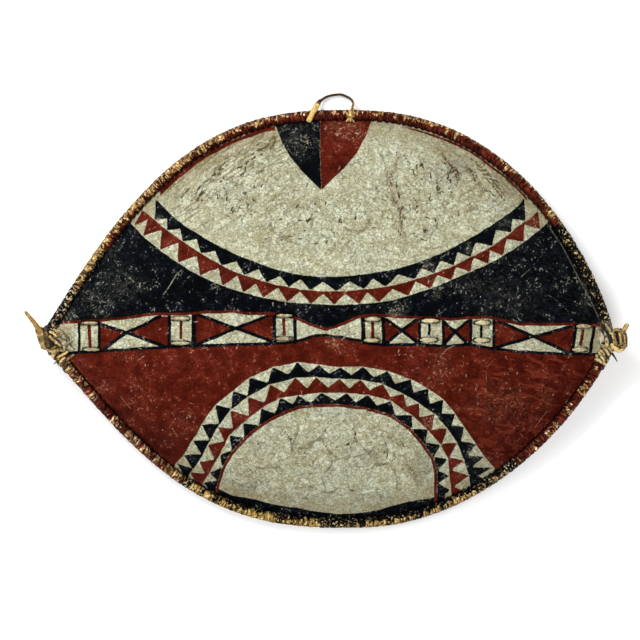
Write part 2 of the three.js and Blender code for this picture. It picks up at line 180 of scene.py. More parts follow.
def fbm(x, y, scale, seed=0, octaves=3):
    total, amp, out = 0, 1.0, 0
    for k in range(octaves):
        out = out + amp * vnoise(x, y, scale / 2**k, seed + 17 * k)
        total += amp
        amp *= 0.5
    return out / total


def smooth(a, b, x):
    t = np.clip((np.asarray(x, float) - a) / (b - a), 0, 1)
    return t * t * (3 - 2 * t)


def make_mesh(name, verts_mm, faces, materials, attributes=None, face_material=None, flat=False):
    v = np.asarray(verts_mm, float).copy()
    v[:, 0] -= MIDDLE_X
    me = bpy.data.meshes.new(name)
    me.from_pydata((v * MM).tolist(), [], [tuple(int(k) for k in f) for f in faces])
    for m in materials:
        me.materials.append(m)
    for key, values in (attributes or {}).items():
        values = np.asarray(values, np.float32)
        if values.ndim == 1:
            me.attributes.new(key, "FLOAT", "POINT").data.foreach_set("value", values)
        else:
            me.attributes.new(key, "FLOAT_VECTOR", "POINT").data.foreach_set("vector", values.ravel())
    if face_material is not None:
        me.polygons.foreach_set("material_index", np.asarray(face_material, np.int32))
    if not flat:
        me.polygons.foreach_set("use_smooth", np.ones(len(me.polygons), bool))
    me.update()
    ob = bpy.data.objects.new(name, me)
    bpy.context.scene.collection.objects.link(ob)
    return ob


def chaikin(points, closed, times):
    p = np.asarray(points, float)
    for _ in range(times):
        if closed:
            q = np.roll(p, -1, 0)
            p = np.stack([p * 0.75 + q * 0.25, p * 0.25 + q * 0.75], 1).reshape(-1, 3)
        else:
            a, b = p[:-1], p[1:]
            q = np.stack([a * 0.75 + b * 0.25, a * 0.25 + b * 0.75], 1).reshape(-1, 3)
            q[0], q[-1] = p[0], p[-1]
            p = q
    return p


def resample(points, closed, step):
    p = np.asarray(points, float)
    if closed:
        p = np.vstack([p, p[:1]])
    d = np.r_[0, np.cumsum(np.linalg.norm(np.diff(p, axis=0), axis=1))]
    n = max(4, int(round(d[-1] / step)))
    s = np.linspace(0, d[-1], n + 1)
    out = np.stack([np.interp(s, d, p[:, k]) for k in range(3)], 1)
    return (out[:-1], s[:-1]) if closed else (out, s)


def tangents(p, closed):
    if closed:
        t = np.roll(p, -1, 0) - np.roll(p, 1, 0)
    else:
        t = np.gradient(p, axis=0)
    return t / np.maximum(np.linalg.norm(t, axis=1, keepdims=True), 1e-9)


def sweep(p, closed, up, half_w, half_t, sides=12, power=1.0, rough=0.0, seed=1):
    """A section half_w wide and half_t thick, its thickness along `up`, carried along p. Returns verts, faces and the
    two attributes around (-1 to 1 across) and the length along."""
    n = len(p)
    t = tangents(p, closed)
    up = np.broadcast_to(np.asarray(up, float), p.shape)
    u = up - (up * t).sum(1, keepdims=True) * t
    u /= np.maximum(np.linalg.norm(u, axis=1, keepdims=True), 1e-9)
    w = np.cross(t, u)
    a = (np.arange(sides) + 0.5) * 2 * np.pi / sides
    ca, sa = np.cos(a), np.sin(a)
    cx, cy = np.sign(ca) * np.abs(ca) ** power, np.sign(sa) * np.abs(sa) ** power
    hw = np.broadcast_to(np.asarray(half_w, float), (n,))
    ht = np.broadcast_to(np.asarray(half_t, float), (n,))
    s = np.r_[0, np.cumsum(np.linalg.norm(np.diff(p, axis=0), axis=1))]
    wob = 1 + rough * fbm(s[:, None] + 0 * a[None], a[None] * 3 + 50 * seed, 6.0, seed)
    v = (
        p[:, None]
        + w[:, None] * (hw[:, None] * cx[None] * wob)[..., None]
        + u[:, None] * (ht[:, None] * cy[None] * wob)[..., None]
    )
    idx = np.arange(n * sides).reshape(n, sides)
    rows = idx if not closed else np.vstack([idx, idx[:1]])
    a0, b0 = rows[:-1], rows[1:]
    faces = np.stack([a0, np.roll(a0, -1, 1), np.roll(b0, -1, 1), b0], -1).reshape(-1, 4).tolist()
    if not closed:
        faces.append(list(idx[0][::-1]))
        faces.append(list(idx[-1]))
    across = np.broadcast_to(ca[None], (n, sides)).ravel()
    lengthwise = np.broadcast_to(s[:, None], (n, sides)).ravel()
    return v.reshape(-1, 3), faces, across, lengthwise


def signed_volume(v, faces):
    total = 0.0
    v = np.asarray(v)
    for f in faces:
        for k in range(1, len(f) - 1):
            total += float(np.dot(v[f[0]], np.cross(v[f[k]], v[f[k + 1]])))
    return total


class Parts:
    """Several swept strands as one mesh."""

    def __init__(self):
        self.v, self.f, self.across, self.length, self.tone, self.chalk, self.n = [], [], [], [], [], [], 0

    def add(self, swept, tone=0.0, chalk=0.0):
        v, f, a, s = swept
        if signed_volume(v, f) < 0:
            f = [list(reversed(k)) for k in f]
        self.v.append(v)
        self.f += [[i + self.n for i in k] for k in f]
        self.across.append(a)
        self.length.append(s + 137.0 * len(self.v))
        tone = np.asarray(tone, float)
        rings = len(tone) if tone.ndim else 1
        self.tone.append(np.repeat(tone, len(v) // rings) if tone.ndim else np.full(len(v), float(tone)))
        self.chalk.append(np.full(len(v), float(chalk)))
        self.n += len(v)

    def object(self, name, material):
        return make_mesh(
            name,
            np.vstack(self.v),
            self.f,
            [material],
            {
                "across": np.concatenate(self.across),
                "lengthwise": np.concatenate(self.length),
                "tone": np.concatenate(self.tone),
                "chalk": np.concatenate(self.chalk),
            },
        )


# =====================================================================================
# The painted design. Its own units: 1.55 mm each, u to the right and v downwards,
# as the design lies when one looks straight at the shield's face.
# =====================================================================================
UNIT = 1.55
U0, V0 = 327.0, 318.83
EYE_Z, PLANE_Z = 10000.0, 30.0
EYE_X, EYE_Y = (320 - U0) * UNIT, (V0 - 320) * UNIT


def design(x, y, z):
    k = (EYE_Z - PLANE_Z) / (EYE_Z - np.asarray(z)) / UNIT
    return 320 + (np.asarray(x) - EYE_X) * k, 320 - (np.asarray(y) - EYE_Y) * k


def line(points):
    a = np.array(points, float).reshape(-1, 2)
    return a


C1 = line([145, 189, 157, 200, 180, 223, 210, 242, 240, 256, 270, 268, 300, 275, 330, 277, 360, 275, 390, 270.5, 420, 262, 450, 250, 480, 233, 510, 213, 526, 198, 536, 189])
C2 = line([140, 207, 150, 216, 170, 233, 200, 253, 230, 270, 260, 280, 290, 288, 330, 292, 370, 289, 400, 284, 430, 275, 460, 263.5, 490, 248, 510, 233, 530, 218, 543, 208])
C3 = line([118, 212, 133, 226, 150, 243, 180, 265, 210, 281, 240, 292, 280, 301, 320, 305, 360, 305, 400, 299, 440, 284.5, 480, 268, 510, 252, 530, 238, 540, 229, 556, 214])
BLACK_TIPS = [154.6, 166.8, 182.8, 200.5, 221, 244, 267, 288, 310, 336, 364, 385, 415, 434, 454, 471, 491.8, 510.6, 525.6]
RED_TIPS = [133.3, 142.8, 159.6, 178.4, 200, 222.4, 243, 263, 287, 311, 334, 359, 379, 408, 430, 451, 470, 488, 503, 524.2, 540]
BAND_TOP = line([40, 325, 65, 322.5, 100, 320.5, 150, 315, 175, 314, 220, 312, 232, 311, 245, 313, 280, 313.5, 297, 318.4, 312, 325, 326.5, 330, 343, 323.5, 359, 316.8, 375, 315, 410, 317, 450, 319, 485, 317.5, 500, 320, 520, 324, 570, 324, 600, 325, 620, 326])
BAND_LOW = line([40, 355, 72, 353, 100, 351, 168, 347.5, 196, 346, 273, 343.5, 295, 341.5, 304, 339.3, 315, 335.7, 326.5, 335.2, 343, 337.2, 350, 339, 359, 340.3, 365, 342.5, 380, 344.5, 420, 344.5, 445, 346.5, 470, 345, 490, 348, 520, 352, 570, 353.5, 595, 354.5, 620, 356])
D0 = line([168, 480, 176, 463, 184.1, 455.3, 192.8, 440.5, 201.9, 424.7, 215.2, 405.3, 232, 391, 249.4, 377.8, 272.9, 367, 297.3, 361.9, 319.3, 365, 340.7, 366.4, 363.6, 367, 387.7, 371, 410.7, 379, 427.9, 388.2, 443.4, 399.7, 454.9, 413.5, 464.1, 426.7, 475.5, 443.9, 484.2, 456.5, 493.3, 467.4, 502, 482])
D1 = line([181, 490, 190.2, 472.7, 198.9, 461.9, 207, 444.1, 217.8, 426.7, 230, 410.4, 247.3, 397.1, 269.8, 384.9, 295.3, 377.8, 316.2, 377.2, 339.5, 378.5, 360.8, 379.6, 383.1, 384.2, 403.8, 394, 418.7, 402.6, 434.8, 414, 447.4, 428.4, 456.6, 442.2, 464.1, 460.5, 469.2, 476, 471, 494])
D2 = line([195, 500, 203.5, 482.3, 209.6, 472.7, 219.3, 454.3, 229, 434.9, 242.8, 422.7, 260.6, 407.9, 280.5, 398.2, 298.4, 395.6, 321.8, 392.6, 347, 392.8, 368.2, 394.5, 390.6, 400.8, 411.3, 414.6, 427.3, 429.5, 440, 443.9, 448, 459.4, 449.7, 476, 450.9, 490.4, 452, 504])
D3 = line([213, 506, 216.7, 486.9, 220.8, 471.6, 229, 455.3, 237.1, 445.1, 251.4, 430.8, 270.8, 417.6, 297.3, 406.3, 320, 404.3, 337.2, 403.7, 365.9, 407.7, 391.2, 414.6, 409.5, 427.2, 423.3, 443.3, 433.6, 458.2, 437.1, 472, 437.1, 508])
LOW_EDGE = line([208, 484, 222, 490, 231, 495, 251, 499, 272, 504, 292, 507, 313, 511, 339, 514, 360, 513, 380, 509.5, 403, 503, 426, 499, 445, 494])
CROSSES = [
    ((127, 333), (99, 323.5), (160, 316.8), (103, 350), (167, 347.4)),
    ((236.2, 328), (198, 315), (270.4, 314.3), (196.7, 345), (273.5, 342)),
    ((401.7, 330.6), (387, 319.4), (417.6, 318.4), (384, 344), (417.6, 343)),
    ((455.3, 332), (443.6, 321.4), (468.6, 321), (443, 345), (467.6, 344)),
    ((533.2, 336.2), (498.3, 321), (571.4, 326), (494.7, 347.7), (571.7, 353.2)),
]
CROSS_ENDS = [(99.5, 168.5), (195, 273.5), (384, 418.5), (444, 470.5), (494.5, 573.5)]
BARS = [((79.2, 322), (79.2, 352.5), 2.2), ((99.3, 320.5), (99.6, 351), 2.4), ((169.4, 314.5), (169.4, 347.5), 3.0), ((193.8, 313.5), (193.8, 346), 4.2), ((274.6, 313), (274.6, 343.5), 3.2), ((295, 318), (295, 342), 3.2), ((363, 316), (363, 342), 3.6), ((383.4, 316), (383.4, 344.5), 3.2), ((419.2, 317), (419.2, 344.5), 2.6), ((443.2, 318.5), (443.2, 346), 2.6), ((471.2, 319), (471.2, 345), 2.4), ((493.8, 318), (493.6, 348), 2.6), ((575.8, 324), (571.7, 354), 3.0), ((595, 325), (589.6, 355), 3.0)]
STROKES = [((89, 326.5), (90.6, 346.4), 3.4, 1), ((181, 322), (181, 337.7), 3.2, 1), ((284.2, 319.4), (284.2, 334.2), 3.4, 1), ((373, 323), (372.4, 337.8), 3.4, 1), ((429.2, 324.5), (429, 334.7), 2.8, 0), ((481, 326.5), (481, 336.7), 2.8, 0), ((583.1, 331), (580.4, 344), 3.4, 1)]
SCRATCHES = [
    ([(163, 295), (168, 288), (172, 282), (176, 275), (183, 269)], 0.55),
    ([(122, 272), (126, 276), (130, 279), (135, 281), (139, 283), (145, 283), (150, 281)], 0.55),
    ([(139, 283), (140, 288)], 0.9),
    ([(130, 277), (134, 284)], 0.3),
    ([(87, 298), (95, 301), (104, 302), (113, 303)], 0.5),
    ([(103, 306), (112, 305)], 0.45),
    ([(80, 291), (88, 294)], 0.4),
    ([(150, 262), (153, 268), (158, 279)], 0.25),
    ([(521, 277), (529, 270), (537, 261), (545, 252)], 0.1),
    ([(470, 283), (490, 286), (503, 289)], 0.2),
    ([(522, 290), (534, 289.5), (543, 291.5), (556, 300), (568, 311)], 0.12),
    ([(190, 403), (197, 404), (204, 405)], 0.5),
    ([(424, 369), (417, 368), (411, 371), (405, 373)], 0.6),
    ([(455, 345), (446, 350), (440, 357)], 0.5),
    ([(427, 378), (429, 390), (428, 400)], 0.35),
    ([(134, 345), (141, 349)], 0.4),
    ([(120, 396), (131, 409)], 0.3),
    ([(534, 429), (541, 419), (548, 410)], 0.12),
    ([(486, 372), (487, 390)], 0.2),
    ([(172, 428), (178, 437)], 0.6),
    ([(180, 412), (186, 411)], 0.6),
    ([(176, 418), (170, 426)], 0.3),
    ([(146, 231), (158, 226)], 0.5),
    ([(187, 256), (189, 248)], 0.3),
]
STAINS = [
    ([(399.6, 158), (391.4, 178), (393.5, 198), (403.7, 213), (399.6, 231), (405.7, 243)], 1.5, 0.85),
    ([(391.4, 178), (398, 192), (402, 205)], 1.0, 0.6),
    ([(440, 150), (447, 158), (452, 166), (458.8, 176), (453, 184)], 1.2, 0.95),
    ([(454, 163), (461, 172), (460, 180)], 0.8, 0.6),
    ([(463, 160), (471, 170), (478, 183), (486, 194)], 0.9, 0.75),
    ([(232, 176), (241, 187), (238, 198)], 0.8, 0.5),
    ([(196, 201), (204, 200), (212, 200)], 0.8, 0.45),
    ([(300, 198), (290, 214)], 0.8, 0.3),
    ([(366, 233), (372, 222), (378, 212)], 0.4, 0.35),
    ([(381, 172), (382, 190), (379, 206)], 0.5, 0.3),
    ([(406, 465), (410, 471), (412, 474), (417, 479)], 2.4, 1.0),
    ([(362, 456), (370, 459), (377, 458)], 1.1, 0.95),
    ([(330, 250), (340, 245), (352, 249), (360, 262)], 0.6, 0.35),
]
# rubbed, dusty places: middle, half sizes, strength
DUST = [
    (345, 128, 26, 15, 0.8), (357, 134, 8, 8, 1.0), (300, 142, 20, 22, 0.55), (286, 128, 10, 8, 0.5), (309, 141, 6, 6, 0.8),
    (182, 424, 17, 22, 0.34), (167, 414, 9, 9, 0.3), (139, 388, 9, 9, 0.4), (130, 355, 22, 14, 0.35), (200, 352, 30, 12, 0.25),
    (333, 343, 13, 7, 1.0), (345, 350, 12, 8, 0.5), (427, 268, 8, 12, 1.0), (437, 288, 7, 12, 0.9), (470, 286, 24, 16, 0.4),
    (505, 300, 45, 28, 0.35), (396, 312, 12, 9, 0.9), (308, 302, 40, 10, 0.35), (98, 300, 20, 22, 0.5), (122, 284, 26, 22, 0.45),
    (64, 314, 13, 24, 0.6), (84, 262, 8, 30, 0.55), (110, 240, 12, 24, 0.6), (500, 405, 44, 34, 0.45), (440, 366, 16, 22, 0.6),
    (430, 422, 12, 10, 1.0), (428, 414, 6, 6, 0.8), (474, 452, 9, 10, 0.9), (486, 460, 8, 6, 0.8), (160, 219, 7, 6, 0.7),
    (504, 222, 10, 8, 0.6), (534, 224, 9, 10, 0.8), (500, 256, 6, 6, 0.7), (468, 248, 6, 8, 0.7), (410, 322, 26, 5, 0.2),
    (62, 300, 14, 18, 0.5), (78, 280, 9, 20, 0.5), (56, 322, 8, 10, 0.7), (585, 290, 8, 30, 0.5), (545, 400, 12, 22, 0.4), (250, 474, 18, 12, 0.1), (215, 452, 8, 8, 0.4), (90, 400, 20, 40, 0.25),
]
# darker places: painted shade near the rim, and darker patches of paint elsewhere
DIM = [
    (150, 448, 42, 26, 0.75), (120, 420, 34, 24, 0.55), (86, 380, 24, 30, 0.3), (525, 452, 40, 28, 0.6), (545, 418, 60, 44, 0.34), (580, 385, 26, 30, 0.25),
    (246, 482, 34, 22, 0.7), (300, 496, 46, 14, 0.6), (424, 468, 14, 34, 0.6), (262, 446, 16, 24, 0.4), (372, 500, 40, 10, 0.5), (330, 412, 40, 8, 0.3),
    (300, 452, 16, 16, 0.35), (392, 438, 18, 14, 0.35), (340, 474, 22, 10, 0.3), (176, 196, 22, 12, 0.4), (222, 160, 34, 10, 0.35), (452, 170, 24, 22, 0.6),
    (222, 205, 62, 34, 0.24), (540, 336, 52, 16, 0.3), (120, 318, 60, 3.2, 0.5), (230, 311.5, 60, 3.2, 0.5), (330, 325, 26, 5, 0.35), (420, 317, 50, 3.2, 0.5), (530, 322, 60, 3.2, 0.5), (506, 186, 18, 26, 0.5), (404, 204, 14, 24, 0.45), (252, 206, 26, 16, 0.3), (424, 228, 22, 12, 0.3), (300, 232, 30, 12, 0.25),
    (200, 285, 70, 26, 0.5), (265, 315, 50, 12, 0.3), (480, 320, 60, 12, 0.2), (560, 290, 30, 22, 0.3), (305, 166, 14, 14, 0.6),
    (344, 168, 16, 18, 0.5), (190, 235, 10, 10, 0.3), (510, 205, 16, 12, 0.3), (330, 500, 60, 10, 0.3),
]
# where the brush has left streaks in the pale ground
STREAK = [
    (235, 158, 66, 36, 1.0), (190, 205, 40, 30, 0.8), (270, 200, 40, 40, 0.4), (470, 175, 46, 26, 0.7), (500, 205, 30, 24, 0.6),
]


# where fine cracks and streaks run in the pale ground:
# middle, half sizes, how many, direction in degrees (anticlockwise), its spread, lengths, half width, faint or dark
CRACKS = [
    (205, 175, 52, 30, 90, 36, 5, (8, 30), 0.22, 0),
    (255, 150, 44, 26, 80, 24, 5, (8, 28), 0.22, 0),
    (232, 190, 44, 30, 60, -52, 10, (4, 13), 0.20, 0),
    (290, 205, 44, 30, 80, -40, 40, (3, 9), 0.22, 0),
    (350, 225, 60, 30, 90, 60, 90, (2, 7), 0.22, 0),
    (420, 195, 50, 50, 90, -62, 20, (4, 12), 0.24, 0),
    (490, 185, 36, 30, 50, -40, 6, (6, 22), 0.22, 0),
    (335, 460, 90, 40, 120, 70, 60, (2, 8), 0.22, 0),
    (200, 178, 44, 22, 18, 34, 6, (4, 14), 0.49, 1),
    (262, 150, 36, 20, 18, 26, 6, (4, 14), 0.49, 1),
    (245, 195, 40, 26, 30, -50, 30, (1.5, 5), 0.55, 1),
    (300, 215, 50, 28, 34, 20, 80, (1.5, 5), 0.55, 1),
    (355, 235, 54, 22, 20, 60, 90, (1.5, 5), 0.51, 1),
    (410, 190, 42, 46, 34, -66, 26, (2, 7), 0.53, 1),
    (460, 172, 30, 26, 16, -56, 12, (2, 9), 0.55, 1),
    (500, 180, 26, 26, 12, -40, 6, (4, 14), 0.49, 1),
    (335, 455, 80, 34, 34, 70, 70, (1.5, 6), 0.51, 1),
]
LONG_CRACKS = [
    [(211, 178), (217, 173), (223, 168.5)], [(198, 190), (203, 184), (210, 179)], [(168, 190), (176, 183), (184, 178)],
    [(238, 168), (246, 163), (254, 158), (262, 154)], [(250, 155), (258, 151), (268, 147)], [(196, 200), (199, 200.5), (203, 200)],
    [(178, 201), (181, 202)], [(222, 184), (225, 190), (228, 196)], [(228, 199), (231, 205)], [(248, 208), (252, 212), (258, 214)],
    [(440, 150), (446, 160), (452, 168), (457, 178)], [(452, 166), (459, 172), (459, 180)], [(463, 160), (470, 170), (476, 182)],
    [(478, 168), (486, 178), (496, 190), (507, 204)], [(470, 158), (480, 166), (492, 180), (505, 196)], [(404, 155), (411, 166), (415, 176)],
    [(398, 176), (396, 186), (400, 196)], [(436, 182), (440, 190), (446, 194)], [(420, 160), (424, 170)], [(404, 206), (399, 216), (403, 226)],
    [(412, 232), (418, 238), (426, 240)], [(284, 430), (290, 438), (292, 448)], [(384, 440), (388, 450), (386, 460)], [(410, 466), (414, 474)],
]

# soft, wandering creases in the pale ground
CREASES = [
    [(290, 450.5), (300, 447), (309, 445.5), (321, 440), (327, 427)], [(321, 440), (326, 452), (344, 461), (360, 456), (378, 454)],
    [(294, 488), (310, 484), (324, 493), (338, 489)], [(385, 433), (395, 444), (409, 447)], [(365, 471), (378, 464), (392, 467)],
    [(253, 467), (263, 471), (277, 467)], [(355, 440), (365, 450), (372, 457)], [(300, 424), (296, 436), (290, 450)],
    [(345, 418), (352, 430), (355, 440), (349, 452)], [(392, 467), (398, 478), (396, 490)], [(330, 466), (322, 478), (326, 492)],
    [(284, 238), (300, 246), (318, 243)], [(340, 222), (352, 232), (370, 230)], [(268, 226), (276, 236), (290, 238)],
    [(378, 150), (388, 166), (386, 184), (396, 200)], [(428, 168), (438, 182), (436, 198), (446, 208)], [(300, 205), (312, 214), (310, 226)],
]


# short light nicks in the dark paint: middle, half sizes, how many
NICKS = [
    (178, 418, 26, 22, 34), (155, 366, 16, 12, 10), (200, 354, 20, 8, 10), (110, 372, 22, 18, 8), (150, 395, 20, 16, 8),
    (436, 378, 26, 24, 34), (470, 420, 26, 18, 20), (500, 400, 26, 30, 20), (560, 390, 26, 30, 16), (540, 440, 20, 16, 8), (408, 356, 20, 8, 12),
    (92, 270, 22, 34, 60), (64, 312, 8, 14, 26), (120, 246, 12, 14, 12), (210, 285, 50, 16, 22), (300, 303, 50, 10, 16), (150, 300, 30, 10, 14),
    (510, 270, 46, 24, 46), (440, 285, 26, 14, 30), (580, 285, 14, 36, 26), (545, 235, 12, 14, 14), (500, 305, 50, 10, 16),
    (302, 138, 14, 14, 22), (345, 133, 18, 12, 26), (340, 165, 12, 14, 6), (230, 420, 30, 40, 14), (430, 430, 26, 40, 20), (335, 385, 60, 10, 12),
    (330, 510, 70, 5, 22), (240, 262, 60, 14, 10), (430, 262, 60, 14, 12), (330, 328, 200, 14, 26),
]


def nicks(u, v):
    r = np.random.default_rng(8)
    out = np.full(u.shape, 30.0)
    for cu, cv, ru, rv, count in NICKS:
        for _ in range(count):
            q = np.clip(r.normal(0, 0.6, 2), -1.6, 1.6)
            p = np.array([cu + ru * q[0], cv + rv * q[1]])
            a, long = r.uniform(0, np.pi), r.choice([0.8, 1.4, 2.2, 4.0], p=[0.4, 0.3, 0.2, 0.1])
            step = long / 2 * np.array([math.cos(a), math.sin(a)])
            out = np.minimum(out, path_distance(u, v, [p - step, p + step], 4.0) - r.uniform(0.1, 0.5))
    return out


def cracks(u, v):
    """Distance fields, in design units, to short wandering lines: faint ones and dark ones."""
    r = np.random.default_rng(5)
    out = [np.full(u.shape, 9.0), np.full(u.shape, 9.0)]
    for cu, cv, ru, rv, count, angle, spread, (short, long), w, dark in CRACKS:
        for _ in range(count):
            q = r.normal(0, 0.55, 2)
            p = np.array([cu + ru * q[0], cv + rv * q[1]])
            a = math.radians(angle + spread * r.normal())
            n = 4
            step = r.uniform(short, long) / n
            pts = [p]
            for _ in range(n):
                a += 0.22 * r.normal()
                p = p + step * np.array([math.cos(a), -math.sin(a)])
                pts.append(p)
            d = path_distance(u, v, pts, 3.0) - w * r.uniform(0.6, 1.3)
            out[dark] = np.minimum(out[dark], d)
    for pts in LONG_CRACKS:
        q = round_curve(np.array(pts, float), 2) if len(pts) > 2 else pts
        out[1] = np.minimum(out[1], path_distance(u + 0.8 * vnoise(u, v, 3, 91), v + 0.8 * vnoise(u, v, 3, 92), q, 3.0) - 0.5)
    wu, wv = u + 2.2 * vnoise(u, v, 9, 93) + 0.8 * vnoise(u, v, 3, 94), v + 2.2 * vnoise(u, v, 9, 95) + 0.8 * vnoise(u, v, 3, 96)
    for pts in CREASES:
        out[0] = np.minimum(out[0], path_distance(wu, wv, round_curve(np.array(pts, float), 2), 3.0) - 0.85 - 0.35 * vnoise(u, v, 5, 97))
    return out


def patches(u, v, table):
    out = np.zeros(np.shape(u))
    for cu, cv, ru, rv, strength in table:
        r = ((u - cu) / ru) ** 2 + ((v - cv) / rv) ** 2
        out = np.maximum(out, strength * np.exp(-r * 1.2))
    return out


def segment_distance(px, py, a, b):
    ax, ay = a
    dx, dy = b[0] - ax, b[1] - ay
    t = np.clip(((px - ax) * dx + (py - ay) * dy) / max(dx * dx + dy * dy, 1e-9), 0, 1)
    return np.hypot(px - ax - t * dx, py - ay - t * dy)


def path_distance(px, py, pts, reach=12.0):
    pts = np.asarray(pts, float)
    out = np.full(px.shape, 99.0)
    near = (px > pts[:, 0].min() - reach) & (px < pts[:, 0].max() + reach)
    near &= (py > pts[:, 1].min() - reach) & (py < pts[:, 1].max() + reach)
    qx, qy = px[near], py[near]
    d = np.full(qx.shape, 99.0)
    for a, b in zip(pts, pts[1:]):
        d = np.minimum(d, segment_distance(qx, qy, a, b))
    out[near] = d
    return out


def polygon(px, py, pts, reach=12.0):
    """Signed distance to a closed outline: negative inside."""
    pts = np.asarray(pts, float)
    out = np.full(px.shape, 99.0)
    near = (px > pts[:, 0].min() - reach) & (px < pts[:, 0].max() + reach)
    near &= (py > pts[:, 1].min() - reach) & (py < pts[:, 1].max() + reach)
    qx, qy = px[near], py[near]
    d = np.full(qx.shape, 99.0)
    inside = np.zeros(qx.shape, bool)
    for a, b in zip(pts, np.roll(pts, -1, 0)):
        d = np.minimum(d, segment_distance(qx, qy, a, b))
        if a[1] != b[1]:
            hit = (a[1] > qy) != (b[1] > qy)
            xs = a[0] + (qy - a[1]) * (b[0] - a[0]) / (b[1] - a[1])
            inside ^= hit & (qx < xs)
    out[near] = np.where(inside, -d, d)
    return out


def stroke(px, py, a, b, width):
    return path_distance(px, py, [a, b]) - width / 2


def y_at(curve, x):
    return np.interp(x, curve[:, 0], curve[:, 1])


def dense(curve, step=6.0):
    d = np.r_[0, np.cumsum(np.hypot(*np.diff(curve, axis=0).T))]
    s = np.linspace(0, d[-1], int(d[-1] / step) + 2)
    return np.stack([np.interp(s, d, curve[:, k]) for k in range(2)], 1)


def round_curve(curve, times=2):
    p = np.c_[curve, np.zeros(len(curve))]
    return chaikin(p, False, times)[:, :2]


C1, C2, C3 = round_curve(C1, 1), round_curve(C2, 1), round_curve(C3, 1)
rng = np.random.default_rng(7)


def toothed(base, far, tips, first, last, depth=0.6):
    """The painted strip on `base` whose teeth reach `far` at the tips; pale triangles stand between them."""
    zig = [np.array([a, y_at(far, a)]) for a in tips]
    lower = []
    for a, b in zip(zig, zig[1:]):
        lower.append(a)
        m = (a + b) / 2
        lower.append(m + (nearest(base, m) - m) * (depth + rng.uniform(-0.05, 0.05)))
    lower.append(zig[-1])
    upper = [first] + [(x, y_at(base, x)) for x in np.linspace(first[0], last[0], 70)[1:-1]] + [last]
    return np.array(upper + lower[::-1])


def nearest(curve, p):
    q = dense(curve, 1.0)
    return q[np.argmin(np.hypot(q[:, 0] - p[0], q[:, 1] - p[1]))]


def toothed_arc(outer, inner, depths=((200, 0.94), (250, 0.9), (290, 0.66), (400, 0.62), (440, 0.68), (500, 0.74))):
    zig = []
    d = np.array(depths, float)
    for a, b in zip(outer, outer[1:]):
        zig.append(a)
        m = (a + b) / 2
        zig.append(m + (nearest(inner, m) - m) * (np.interp(m[0], d[:, 0], d[:, 1]) + rng.uniform(-0.04, 0.04)))
    zig.append(outer[-1])
    return np.array(zig + list(inner[::-1]))


ARC_RED = ((200, 0.84), (240, 0.88), (290, 0.66), (400, 0.66), (430, 0.76), (460, 0.92))
ARC_INNER = ((200, 0.9), (250, 0.95), (290, 0.7), (380, 0.66), (410, 0.84), (450, 0.9))
RED_STRIP = toothed(C2, C3, RED_TIPS, (142.2, 210.6), (537.8, 210.6), 0.8)
BLACK_STRIP = toothed(C1, C2, BLACK_TIPS, (155.4, 198.0), (524, 197.0), 0.64)


def union(*fields):
    return np.minimum.reduce(fields)


